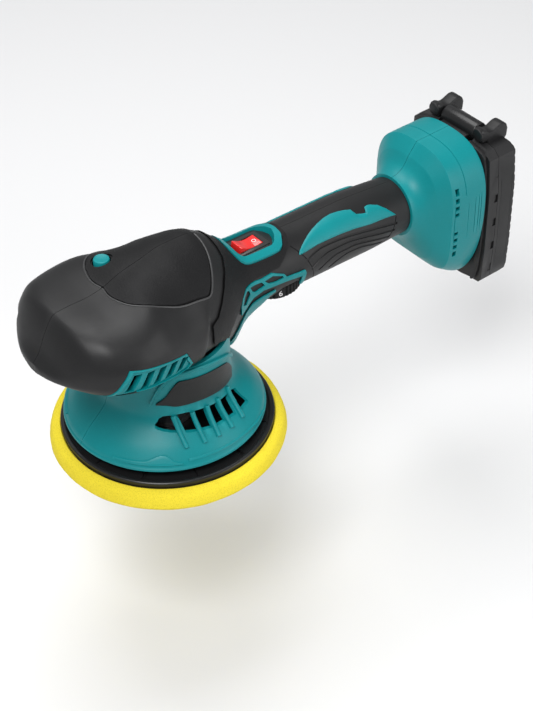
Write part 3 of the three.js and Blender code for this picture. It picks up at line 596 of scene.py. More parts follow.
class POLISHER_OT_head(bpy.types.Operator):
    """Models the two halves of the head cover"""
    bl_idname = "polisher.head"
    bl_label = "Head cover"

    def execute(self, context):
        cover = body_part([x for x in HEAD_STATIONS if x < 46], BODY, raised=flank)
        cover = common(cover, ahead_of_collar())
        inner = body_part([x for x in HEAD_STATIONS[4::2] if x < 60], BODY, grow=-WALL, around=64)
        pocket = cut(body_part([x for x in HEAD_STATIONS if -46 < x < 40], BODY, grow=3),
                     body_part([x for x in HEAD_STATIONS if -48 < x < 42], BODY, grow=-1.0))
        pocket = common(pocket, prism(rounded(whole(PANEL), 1), 90, 160))
        cut(cover, inner, neck_room(40), bar(33, 40, 90, "up", segments=64),
            side_blocks(moved_in(GRILLE, -0.5), 30, FAR), pocket,
            bar(5.8, 115, 160, "up", at=LOCK_AT), screw_recess(HEAD_SCREW, 9.8))
        halves(cover, "head_cover", "housing", finish("black"))
        return {"FINISHED"}


class POLISHER_OT_top_grip(bpy.types.Operator):
    """Models the soft panels on the top of the head"""
    bl_idname = "polisher.top_grip"
    bl_label = "Top grip"

    def execute(self, context):
        stations = [x for x in HEAD_STATIONS if -46 < x < 40]
        layer = cut(body_part(stations, BODY, grow=0.15), body_part(stations[::2], BODY, grow=-0.9))
        layer = common(layer, prism(rounded(moved_in(whole(PANEL), 1.1), 1), 90, 160))
        cut(layer, bar(6.6, 90, 160, "up", at=LOCK_AT))
        halves(layer, "top_grip", "housing", finish("rubber"))
        lip = rounded(whole(PANEL), 2)[:-1]
        for side, kept in (("left", 1), ("right", -1)):
            path = sorted((p for p in lip if p[1] * kept > 0.4),
                          key=lambda p: math.atan2(p[1] * kept, p[0] + 8))
            bead = tube([(x, y, BODY.crown(x, y) - 0.15) for x, y in path], 0.6)
            place_piece(bead, f"top_grip_{side}_lip", "housing", [], finish("lip"))
        return {"FINISHED"}


class POLISHER_OT_grilles(bpy.types.Operator):
    """Models the slatted vent grille in each side of the head"""
    bl_idname = "polisher.grilles"
    bl_label = "Vent grilles"

    def execute(self, context):
        stations = [x for x in HEAD_STATIONS if -76 < x < 0]
        plate = cut(body_part(stations, BODY, grow=0.55, raised=flank),
                    body_part(stations[::2], BODY, grow=-2.2))
        common(plate, prism(GRILLE, -60, -30, "sideways"))
        recess = cut(body_part(stations, BODY, grow=4),
                     body_part(stations, BODY, grow=-0.5, raised=flank))
        common(recess, prism(moved_in(GRILLE, 2.0), -62, -28, "sideways"))
        slots = []
        for i in range(5):
            x, low, high = -59.5 + 8.7 * i, 94.6 - 0.75 * i, 105.4 - 1.75 * i
            slots.append(prism([(x, low), (x + 5.2, low - 0.5), (x + 11, high), (x + 6, high + 0.6)],
                               -60, -30, "sideways"))
        cut(plate, recess, merge(*slots))
        pair(plate, "vent_grille", "housing", finish("teal"))
        return {"FINISHED"}


# ---- Handle -------------------------------------------------------------------------------

ACCENT_TOP = straight([(93.6, 101.3), (95.2, 102.8), (98, 104.3), (101.2, 105.6), (105, 106.9),
                       (110, 108), (115.7, 108.8), (122, 109.3), (128, 109.4), (134, 109),
                       (139, 108.4), (142.5, 107.7), (144.4, 105.4), (148, 104.4), (151.2, 103.8),
                       (152.6, 105.9), (155, 106), (158, 105.4), (162.7, 103.8), (167.5, 100.5),
                       (173.2, 95)])
ACCENT_LEFT_TOP = 105.2  # the left accent doesn't reach as far round
ACCENT_LOW = along([(93.6, 100.9), (96, 100.6), (108.7, 101.2), (120, 101), (136.4, 99.9), (150.7, 97.8),
                    (162.6, 96.5), (173.2, 94.7)])
LATTICE = [(41.2, 92.2), (43.2, 96.8), (48, 100), (56.8, 99.9), (62.1, 99.2), (69.9, 99.6), (79.1, 95),
           (80.7, 92.2), (91, 90.6), (95.6, 90.2), (96.4, 88), (95.6, 78), (92.8, 78), (93.2, 86.8),
           (80, 89.4), (69.4, 90.6), (61.9, 91.4), (54.5, 89.6), (48.2, 85.8), (42, 84.4)]
WINDOWS = [
    [(63.5, 97.3), (70, 97.9), (77.3, 94.8), (78, 93), (72.6, 92.9), (66.5, 94.2)],
    [(52, 98.3), (57, 98.1), (61.2, 97.6), (63.3, 94.3), (56, 93), (53.4, 94.6)],
    [(43.3, 91.5), (45.4, 96.3), (48.3, 98.2), (50.4, 97.4), (51.6, 93.6), (46.6, 89)],
]
THROAT = [(72, 86.4), (62, 86.2), (54.5, 84.6), (48.2, 81), (43.5, 76), (40, 70), (38, 62), (38, 40),
          (64, 40), (64, 78), (68, 83.5), (72, 84.6)]
SADDLE = [(0, 86), (26, 76), (28.4, 85.5), (35.2, 90.3), (40.4, 93.5), (43.5, 98), (48, 101.2),
          (57.2, 101.3), (64.9, 101), (76.2, 100.6), (82.1, 104), (88, 108), (92.3, 111.4), (93, 116),
          (93, 160), (0, 160)]
BEZEL = [(45.2, 0.1), (45.8, 4.5), (47.4, 10), (51, 14.2), (56, 15.2), (80.5, 15.2), (84.5, 13.4),
         (89, 6.6), (89.4, 0.1)]


def grip_curve(points, side):
    """A path on the handle's side through [x, z] points."""
    height = along(points)
    return [(x, side * BODY.side(x, height(x)), height(x))
            for x in span(points[0][0], points[-1][0], 1.5)]


class POLISHER_OT_handle(bpy.types.Operator):
    """Models the two halves of the handle shell, with the grooves cut into its sides"""
    bl_idname = "polisher.handle"
    bl_label = "Handle shell"

    def execute(self, context):
        stations = [x for x in HEAD_STATIONS if 12 < x < 48] + GRIP_STATIONS
        shell = body_part(stations, BODY)
        hollow = body_part([x for x in stations[::2] if x < GRIP_END - 1] + [GRIP_END + 1], BODY,
                           grow=-WALL, around=64)
        cut(shell, hollow, ahead_of_collar(2 * SEAM), neck_room(30),
            prism(moved_in(whole(BEZEL), 1.2), 102, 140), dial_room(), screw_recess(GRIP_SCREW, 7.8))
        radius = context.scene.polisher_sizes.groove_radius / MM
        lines = [
            [(98, 95), (104, 97.4), (112, 98.6), (125, 98), (140, 96), (158, 92.5), (174, 88.5)],
            [(102, 88.5), (108, 92), (116, 94.2), (130, 94), (145, 91.5), (160, 87.5), (172, 84)],
            [(108, 83), (115, 87), (123, 89.7), (135, 89.7), (148, 86.8), (160, 82.8), (169, 79.8)],
            [(117, 80), (124, 83.8), (132, 85.8), (142, 85), (152, 81.7), (163, 77.5)],
        ]
        tools = [tube(grip_curve(line, side), radius) for line in lines for side in (-1, 1)]
        slanting = [(90, 106.5), (93, 103.4), (96, 99.6), (99, 95), (102, 88), (104.5, 81), (106, 76)]
        crossing = [(173.5, 93.5), (171.5, 88), (169, 82), (166, 76.5), (162, 72.5)]
        seams = [merge(*[tube([(x, side * BODY.side(x, z), z) for x, z in line], line_radius)
                         for side in (-1, 1)])
                 for line, line_radius in ((slanting, 0.45), (crossing, 0.5))]
        cut(shell, merge(*tools), *seams)
        halves(shell, "handle_shell", "housing", finish("black"))
        return {"FINISHED"}


def side_panel(xs, low, high, lift=PROUD, rows=9):
    """A panel on the right side of the handle, between two heights, with rounded edges."""
    rings = []
    for x in xs:
        z0, z1 = low(x), high(x)
        ring = []
        for j in range(rows):
            z = z0 + (z1 - z0) * j / (rows - 1)
            edge = min(j, rows - 1 - j) / (rows - 1) * (z1 - z0)
            end = min(x - xs[0], xs[-1] - x)
            rise = lift - 0.7 * (1 - soft_step(min(edge, end) / 0.9))
            ring.append((x, -BODY.side(x, z, rise), z))
        for j in reversed(range(rows)):
            z = z0 + (z1 - z0) * j / (rows - 1)
            ring.append((x, -BODY.side(x, z, 0.2), z))
        rings.append(ring)
    return loft(rings)


class POLISHER_OT_accents(bpy.types.Operator):
    """Models the crescent accents on the sides of the grip"""
    bl_idname = "polisher.accents"
    bl_label = "Grip accents"

    def execute(self, context):
        stations = sorted(set(span(93.6, 173.2, 0.8) + [142.5, 144.4, 151.2, 152.6]))
        right = side_panel(stations, ACCENT_LOW, ACCENT_TOP)
        lower = side_panel(stations, ACCENT_LOW, lambda x: min(ACCENT_TOP(x), ACCENT_LEFT_TOP))
        left = mirrored(lower)
        bpy.data.objects.remove(lower)
        for side, panel in (("right", right), ("left", left)):
            place_piece(panel, f"grip_accent_{side}_panel", "housing", [f"grip_accent_{side}"],
                        finish("teal"), angle=50)
        return {"FINISHED"}


def skin(stations, low, high):
    """The layer between two distances from the body's surface."""
    return cut(body_part(stations, BODY, grow=high),
               body_part([stations[0] - 1] + stations[1:-1] + [stations[-1] + 1], BODY, grow=low))


class POLISHER_OT_dial_trim(bpy.types.Operator):
    """Models the latticed trim in front of the speed dial and the strip down the throat"""
    bl_idname = "polisher.dial_trim"
    bl_label = "Dial trim"

    def execute(self, context):
        stations = [x for x in HEAD_STATIONS if 33 < x < 47] + [x for x in GRIP_STATIONS if x < 104]
        layer = skin(stations, 0.2, PROUD)
        pattern = join(prism(LATTICE, -60, -SEAM, "sideways"), prism(THROAT, -61, -SEAM, "sideways"))
        cut(pattern, merge(*[prism(w, -62, 0, "sideways") for w in WINDOWS]))
        trim = common(layer, pattern)
        cut(trim, dial_room(), neck_room(20, 0.6))
        pair(trim, "dial_trim", "housing", finish("teal"))
        return {"FINISHED"}


class POLISHER_OT_saddle(bpy.types.Operator):
    """Models the soft saddle around the switch"""
    bl_idname = "polisher.saddle"
    bl_label = "Switch saddle"

    def execute(self, context):
        stations = [x for x in HEAD_STATIONS if 4 < x < 47] + [x for x in GRIP_STATIONS if x < 98]
        cover = skin(stations, 0.2, PROUD)
        common(cover, prism(SADDLE, -60, 60, "sideways"))
        around_bezel = whole([(x - 0.5 if x < 60 else x + 0.5, y + 0.4) for x, y in BEZEL])
        cut(cover, ahead_of_collar(1.3), neck_room(20, 0.6), prism(rounded(around_bezel, 1), 100, 150))
        place_piece(cover, "switch_saddle_cover", "housing", ["switch_saddle"],
                    finish("rubber"))
        return {"FINISHED"}


# ---- Switch and dial ----------------------------------------------------------------------

class POLISHER_OT_switch(bpy.types.Operator):
    """Models the switch's bezel, body and rocker"""
    bl_idname = "polisher.switch"
    bl_label = "Switch"

    def execute(self, context):
        stations = [x for x in HEAD_STATIONS if 40 < x < 47] + [x for x in GRIP_STATIONS if x < 94]
        rim = common(prism(rounded(whole(BEZEL), 1, 0.12), 103.5, 150),
                     body_part(stations, BODY, grow=2.0))
        well = whole([(51.5, 0.1), (53, 9.6), (56, 11.6), (78, 11.6), (81.5, 10), (85, 5), (86.4, 0.1)])
        well = rounded(well, 1, 0.12)
        dish = loft([[(x, y, 109) for x, y in moved_in(well, 1.2)],
                     [(x, y, 128) for x, y in moved_in(well, -3.4)]])
        cut(rim, dish, block(54.2, 79.8, -8.3, 8.3, 90, 140))
        floor = prism(moved_in(well, 1.6), 108.7, 110.2, bevel=0.2)
        cut(floor, block(54.6, 79.4, -7.9, 7.9, 90, 140))
        place_piece(floor, "switch_surround", "housing", [], finish("switch_black"))
        place_piece(rim, "switch_bezel_frame", "housing", ["switch_bezel"],
                    finish("teal"))

        case = block(54.5, 79.5, -8, 8, 92, 111, bevel=0.5)
        cut(case, block(57.7, 76.3, -5.3, 5.3, 103, 130))
        place_piece(case, "switch_case", "housing", ["switch_body"],
                    finish("switch_black"))

        arc = [(-8.5, 4.5), (-7.8, 4.7), (-5.4, 3.9), (-2.7, 3.1), (0, 2.8), (2.7, 3.1), (5.4, 3.9),
               (7.8, 4.7), (8.5, 4.5)]
        under = [(8.5, -1), (4, -2.5), (-4, -2.5), (-8.5, -1)]
        tilt = math.radians(ROCKER_REST)

        def tilted(x, z):
            return (ROCKER_X + x * math.cos(tilt) + z * math.sin(tilt),
                    ROCKER_Z - x * math.sin(tilt) + z * math.cos(tilt))
        rocker = prism([tilted(x, z) for x, z in arc + under], -5, 5, "sideways", bevel=0.35)
        place_piece(rocker, "rocker_key", "rocker", ["rocker"], finish("red"), angle=50)

        mark_x, mark_z = tilted(5.2, 3.85)
        bm = bmesh.new()
        bmesh.ops.create_circle(bm, segments=28, radius=1.45)
        inner = bmesh.ops.extrude_edge_only(bm, edges=bm.edges[:])
        moved = [v for v in inner["geom"] if isinstance(v, bmesh.types.BMVert)]
        bmesh.ops.scale(bm, vec=(0.72, 0.72, 1), verts=moved)
        bmesh.ops.solidify(bm, geom=bm.faces[:], thickness=0.12)
        bmesh.ops.recalc_face_normals(bm, faces=bm.faces)
        slope = math.atan2(0.85, 3) - tilt
        bmesh.ops.rotate(bm, verts=bm.verts, cent=(0, 0, 0), matrix=Matrix.Rotation(-slope, 3, "Y"))
        bmesh.ops.translate(bm, verts=bm.verts, vec=(mark_x, 0, mark_z + 0.06))
        place_piece(new_object("solid", bm), "rocker_mark_off", "rocker", [],
                    finish("white"))
        return {"FINISHED"}


class POLISHER_OT_dial(bpy.types.Operator):
    """Models the knurled speed dial and its numbers"""
    bl_idname = "polisher.dial"
    bl_label = "Speed dial"

    def execute(self, context):
        teeth = context.scene.polisher_sizes.dial_teeth
        top = DIAL_Z + DIAL_H
        profile = [(3, DIAL_Z), (DIAL_R - 1.2, DIAL_Z), (DIAL_R - 0.4, DIAL_Z + 0.4),
                   (DIAL_R, DIAL_Z + 1.2), (DIAL_R, top - 1.2), (DIAL_R - 0.4, top - 0.4),
                   (DIAL_R - 1.2, top), (3, top)]
        wheel = turned(profile, DIAL_X, 0, steps=teeth * 4)
        bm = bmesh.new()
        bm.from_mesh(wheel.data)
        for v in bm.verts:
            dx, dy = v.co.x - DIAL_X, v.co.y
            if math.hypot(dx, dy) > DIAL_R - 1.6:
                turn = (math.degrees(math.atan2(dy, dx)) - 12) % 60
                flat = abs((turn + 30) % 60 - 30) < 9
                step = round(math.atan2(dy, dx) / (2 * math.pi) * teeth * 4) % 4
                if step in (0, 1) and not flat and DIAL_Z + 0.3 < v.co.z < top - 0.3:
                    v.co.x, v.co.y = DIAL_X + dx * 0.955, dy * 0.955
        bm.to_mesh(wheel.data)
        bm.free()
        place_piece(wheel, "speed_dial_wheel", "speed_dial", ["speed_dial"],
                    finish("rubber"), angle=25)
        for i in range(6):
            curve = bpy.data.curves.new(f"digit_{i + 1}", "FONT")
            curve.body = str(i + 1)
            curve.size, curve.extrude = 5.6, 0.06
            curve.align_x = curve.align_y = "CENTER"
            text = linked("text", curve)
            graph = bpy.context.evaluated_depsgraph_get()
            mesh = bpy.data.meshes.new_from_object(text.evaluated_get(graph))
            bpy.data.objects.remove(text)
            turn = math.radians(60 * (i - 5) - 108)
            stand = Matrix.Rotation(turn + math.pi / 2, 4, "Z") @ Matrix.Rotation(math.pi / 2, 4, "X")
            middle = Vector((DIAL_X + (DIAL_R + 0.02) * math.cos(turn), (DIAL_R + 0.02) * math.sin(turn),
                             DIAL_Z + DIAL_H / 2))
            mesh.transform(Matrix.Translation(middle) @ stand)
            place_piece(linked("digit", mesh), f"dial_number_{i + 1}", "speed_dial", [],
                        finish("white"))
        return {"FINISHED"}


# ---- Shroud -------------------------------------------------------------------------------

BELL = [(RIM_R - 0.5, RIM_Z), (RIM_R, RIM_Z + 0.6), (RIM_R - 0.2, RIM_Z + 1.8), (RIM_R - 1.0, 22.6),
        (RIM_R - 1.2, 22.9), (RIM_R - 1.3, 24), (60.6, 26), (58.4, 28.6), (56, 31.5), (53.6, 33.7),
        (51, 35.9), (48.5, 38), (46.3, 40.2), (44.7, 42), (43.6, 43.6), (42.7, 45.4), (42, 48)]


def bell_radius(z):
    """The shroud's radius at a height."""
    zs, rs = [p[1] for p in BELL], [p[0] for p in BELL]
    return float(np.interp(z, zs, rs))


def wrap_patch(angles, low, high, lift, depth, rows=7, radius=bell_radius):
    """A panel wrapped on the shroud, between two heights that vary with the angle."""
    rings = []
    for a in angles:
        z0, z1 = low(a), high(a)
        c, s = math.cos(math.radians(a)), math.sin(math.radians(a))
        ring = []
        for j in range(rows):
            z = z0 + (z1 - z0) * j / (rows - 1)
            r = radius(z) + (lift if 0 < j < rows - 1 else lift - 0.3)
            ring.append((r * c, r * s, z))
        for j in reversed(range(rows)):
            z = z0 + (z1 - z0) * j / (rows - 1)
            ring.append(((radius(z) - depth) * c, (radius(z) - depth) * s, z))
        rings.append(ring)
    return loft(rings)


class POLISHER_OT_shroud(bpy.types.Operator):
    """Models the two halves of the shroud: its bell, air windows, ribs and neck"""
    bl_idname = "polisher.shroud"
    bl_label = "Shroud"

    def execute(self, context):
        wall = [(r - WALL + 0.6, z) for r, z in BELL[::-1] if z > 22]
        profile = BELL + [(42, 80), (39.3, 80)] + wall + [(RIM_R - 3.2, RIM_Z)]
        bell = turned(profile, steps=144)
        bars = [(-118, -112), (-102, -100), (-88, -90), (-76, -79), (-60, -68)]
        cutters, ribs = [], []
        low = along([(-133, 40.4), (-129, 39.4), (-111, 37.2), (-99, 36.2), (-87, 35.2), (-74, 34.6),
                     (-64, 33.4), (-52, 32.4)])
        high = along([(-133, 41.5), (-127, 46.4), (-110, 46.6), (-96, 45.6), (-86, 44.6), (-72, 43.4),
                      (-60, 42.6), (-52, 40.5)])
        edges = [(-132.5, -132.5)] + bars + [(-52.5, -54)]
        for (top_a, foot_a), (top_b, foot_b) in zip(edges, edges[1:]):
            rings = []
            for f in (0, 0.25, 0.5, 0.75, 1):
                a0, a1 = top_a + (1.7 if top_a > -130 else 0), top_b - (1.7 if top_b < -54 else 0)
                b0, b1 = foot_a + (1.5 if top_a > -130 else 0), foot_b - (1.5 if top_b < -54 else 0)
                ring = []
                up, down = a0 + (a1 - a0) * f, b0 + (b1 - b0) * f
                for above, r in ((0, 30), (1, 30), (1, 75), (0, 75)):
                    z = high(up) if above else low(down)
                    a = math.radians(up if above else down)
                    ring.append((r * math.cos(a), r * math.sin(a), z))
                rings.append(ring)
            cutters.append(loft(rings))
        for top_a, foot_a in bars:
            path = []
            for f in span(0, 1, 0.1):
                z = 46 + (31.4 - 46) * f
                a = math.radians(top_a + (foot_a - top_a) * f)
                r = bell_radius(z) + 0.3
                path.append((r * math.cos(a), r * math.sin(a), z))
            ribs.append(tube(path, 1.6, sides=12))
        right = merge(*cutters)
        cut(bell, right, mirrored(right))
        band_low = along([(-136, 55), (-130, 64), (-123, 70.6), (-112, 75.8), (-98, 77.2), (-82, 75.2),
                          (-57, 67.8), (-44, 60)])
        band_high = along([(-136, 57), (-130, 67.5), (-123, 74.5), (-112, 79), (-98, 79.4), (-82, 77.6),
                           (-57, 70.5), (-44, 63)])
        band = wrap_patch(span(-136, -44, 2), band_low, band_high, 1.7, 1.5, rows=7)
        tab_low = along([(-156, 24.6), (-138, 24.4), (-116, 24.4)])
        tab_high = along([(-156, 25.6), (-138, 26.4), (-127, 29.2), (-124.5, 28.6), (-120, 26),
                          (-116, 25)])
        tab = wrap_patch(span(-156, -116, 1), tab_low, tab_high, 1.0, 1.5, rows=7)
        line = wrap_patch(span(-112, -50, 2), along([(-112, 25.2), (-78, 25), (-50, 22.6)]),
                          along([(-112, 26.4), (-78, 26), (-50, 23.4)]), 0.9, 1.5, rows=5)
        halves(bell, "shroud", "housing", finish("teal"),
               raised=merge(band, tab, line, *ribs))
        return {"FINISHED"}


class POLISHER_OT_neck_panels(bpy.types.Operator):
    """Models the black panels set into the sides of the neck"""
    bl_idname = "polisher.neck_panels"
    bl_label = "Neck panels"

    def execute(self, context):
        low = along([(-131, 55.6), (-124, 55.2), (-113, 53.2), (-100, 52.9), (-84, 51.6), (-62, 48.5),
                     (-47, 46)])
        high = along([(-131, 56.4), (-123, 61.5), (-117, 68), (-111, 72.2), (-99, 71.5), (-83, 70.1),
                      (-59, 64.4), (-47, 55)])
        panel = wrap_patch(span(-131, -47, 1.5), low, high, PROUD, -0.3, rows=9,
                           radius=lambda z: NECK_R + max(46.5 - z, 0) * 0.4)
        pair(panel, "neck_panel", "housing", finish("black"))
        return {"FINISHED"}


# ---- Pad ----------------------------------------------------------------------------------

class POLISHER_OT_pad(bpy.types.Operator):
    """Models the backing plate, the hook disc and the foam pad"""
    bl_idname = "polisher.pad"
    bl_label = "Pad"

    def execute(self, context):
        low, top = 10.5, 14.7
        plate = turned([(3.3, low), (65.8, low), (66.6, low + 0.5), (67, low + 1.5), (67, top + 0.6),
                        (66.6, top + 1.15), (66, top + 1.4), (64.6, top + 1.4), (64.0, top + 1.1),
                        (63.6, top + 0.4), (63.4, top), (58, top), (3.3, top)], 0, PAD_Y, steps=144)
        cut(plate, bar(7.3, 9, low + 2.5, "up", at=(0, PAD_Y)))
        grooves = []
        for i in range(12):
            a = 2 * math.pi * (i + 0.35) / 12
            wide = 1.4 if i % 2 else 0.5
            tool = block(30, 63, -wide, wide, top - 1.1, top + 3)
            tool.data.transform(Matrix.Translation((0, PAD_Y, 0)) @ Matrix.Rotation(a, 4, "Z"))
            grooves.append(tool)
        cut(plate, merge(*grooves))
        place_piece(plate, "backing_plate_disc", "pad", ["backing_plate"],
                    finish("smooth_black"))
        hook = turned([(0, 8.8), (65.6, 8.8), (66, 9), (66, 10), (65.6, 10.2), (0, 10.2)], 0, PAD_Y)
        place_piece(hook, "hook_face", "pad", ["hook_disc"], finish("hook"))

        big = context.scene.polisher_sizes.pad_radius / MM
        profile = [(0, 0), (30, 0), (60, 0), (big - 3.2, 0), (big - 1.9, 0.25), (big - 0.9, 0.85),
                   (big - 0.25, 1.7), (big, 2.7), (big - 0.1, 4), (big - 0.5, 5.6), (big - 1, 7.2),
                   (big - 1.5, 8.6), (big - 2.1, 9.7), (big - 3, 10.7), (big - 4.3, 11.5),
                   (big - 5.8, 12.1), (big - 7, 12.4), (67.6, 12.3), (67.35, 11.8), (67.35, 8.5),
                   (40, 8.5), (0, 8.5)]
        pad = turned(profile, 0, PAD_Y, steps=180)
        bm = bmesh.new()
        bm.from_mesh(pad.data)
        side = [v for v in bm.verts if math.hypot(v.co.x, v.co.y - PAD_Y) > big - 6.5 and v.co.z > 0.1]
        for v in side:
            a = math.atan2(v.co.y - PAD_Y, v.co.x)
            dent = 0.10 * math.sin(9 * a + 1) + 0.08 * math.sin(23 * a + 2 * v.co.z) - 0.18
            r = math.hypot(v.co.x, v.co.y - PAD_Y)
            v.co.x *= (r + dent) / r
            v.co.y = PAD_Y + (v.co.y - PAD_Y) * (r + dent) / r
        bm.to_mesh(pad.data)
        bm.free()
        place_piece(pad, "foam_disc", "pad", ["foam_pad"], finish("foam"), angle=60)
        return {"FINISHED"}


# ---- Shaft lock ---------------------------------------------------------------------------

class POLISHER_OT_lock(bpy.types.Operator):
    """Models the shaft lock button and its pin"""
    bl_idname = "polisher.lock"
    bl_label = "Shaft lock"

    def execute(self, context):
        button = turned([(0, 117), (2, 117), (2, 128), (4.6, 128), (5, 128.4), (5, 132.6), (4.6, 133.4),
                         (3.8, 133.8), (2.4, 133.5), (0, 133.3)], *LOCK_AT, steps=48)
        place_piece(button, "lock_key", "lock_button", ["lock_button"], finish("teal"))
        return {"FINISHED"}


# ---- Springs ------------------------------------------------------------------------------

SPRINGS = {
    # body, joint that presses it, x, y, foot, top, radius, wire
    "lock_spring": ("housing", "lock_press", *LOCK_AT, 119.3, 127.7, 3.6, 0.45),
    "release_spring": ("battery", "latch_press", PACK_SPLIT + 2, 0, 111.2, 116.6, 3.0, 0.4),
}
PRESS, COILS = 3.0, 3  # how far each button goes down, and the turns in each spring


class POLISHER_OT_springs(bpy.types.Operator):
    """Models the two button springs"""
    bl_idname = "polisher.springs"
    bl_label = "Springs"

    def execute(self, context):
        for node, (body, joint, x, y, foot, top, radius, wire) in SPRINGS.items():
            path = []
            for t in span(0, 1, 1 / 72):
                a = 2 * math.pi * COILS * t
                path.append((x + radius * math.cos(a), y + radius * math.sin(a),
                             foot + wire + (top - foot - 2 * wire) * t))
            coil = place_piece(tube(path, wire), f"{node}_coil", body, [node], finish("steel"))
            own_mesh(coil)
        return {"FINISHED"}


# ---- Rear housing -------------------------------------------------------------------------

DOCK_STATIONS = [186.3, 187, 188, 189.5, 191, 192.2, 193.5, 194.8, 196, 197, 198, 199, 199.7, 200, 200.3,
                 202, 204, 206.4, 207, 207.6, 209, 212, 215, 218, 218.3, 218.7, 219, 222, 226, 230, 234,
                 235.2, 235.7, 236]


def dock_groove(x, y, z):
    """The fine groove around the rear housing, and its rounded rear edge."""
    groove = 0.5 if 218.2 < x < 218.8 and (z > 98 or abs(y) < 20) else 0
    rim = 0.7 * soft_step((x - 235) / 1)
    return -groove - rim


class POLISHER_OT_rear_housing(bpy.types.Operator):
    """Models the two halves of the rear housing that carries the battery"""
    bl_idname = "polisher.rear_housing"
    bl_label = "Rear housing"

    def execute(self, context):
        housing = body_part(DOCK_STATIONS, DOCK, around=144, raised=dock_groove)
        hollow = body_part([185, 188, 191, 193.5, 196, 198, 200, 207, 212, 222, 233], DOCK,
                           grow=-WALL, around=72)
        slots, joining, frames = [], [], []
        for side in (-1, 1):
            for z0, z1 in ((101, 106), (95.5, 99), (90.2, 93.2), (85.4, 88), (70.5, 73), (65, 67.8),
                           (59.5, 62.5), (53, 57)):
                if side < 0 or z1 < 93:  # the left side's screw sinks in where its upper slots would be
                    slots.append(side_block(side, 209.6, 212.6, 30, 45, z0, z1))
            joining.append(side_block(side, 208.9, 209.5, 36.7, 45, 54, 105))
            for x0, x1, z0, z1 in ((220.5, 232, 53, 106), (226.5, 230, 60, 101)):
                ring = side_block(side, x0, x1, 37.35, 45, z0, z1)
                cut(ring, block(x0 + 0.5, x1 - 0.5, -FAR, FAR, z0 + 0.5, z1 - 0.5))
                frames.append(ring)
        cut(housing, hollow, merge(*slots), merge(*joining), merge(*frames),
            block(232, 237, -15.5, 15.5, 44.5, 76.5), screw_recess(DOCK_SCREW, 21.7))
        join(housing, *[side_block(side, x0, x1, near, far, 30, 104) for side in (-1, 1)
                        for x0, x1, near, far in ((235, 238.2, 24, 26), (237.6, 239.2, 24, 28))])
        halves(housing, "rear_housing", "housing", finish("teal"), angle=28)
        return {"FINISHED"}


# ---- Battery ------------------------------------------------------------------------------

def case_outline(half, low, corner, top_corner=9.0):
    """The battery's outline seen from the front."""
    return [(-half, PACK_TOP - top_corner), (-half, low + 1.4 * corner), (-half + corner, low),
            (half - corner, low), (half, low + 1.4 * corner), (half, PACK_TOP - top_corner),
            (half - top_corner, PACK_TOP), (top_corner - half, PACK_TOP)]


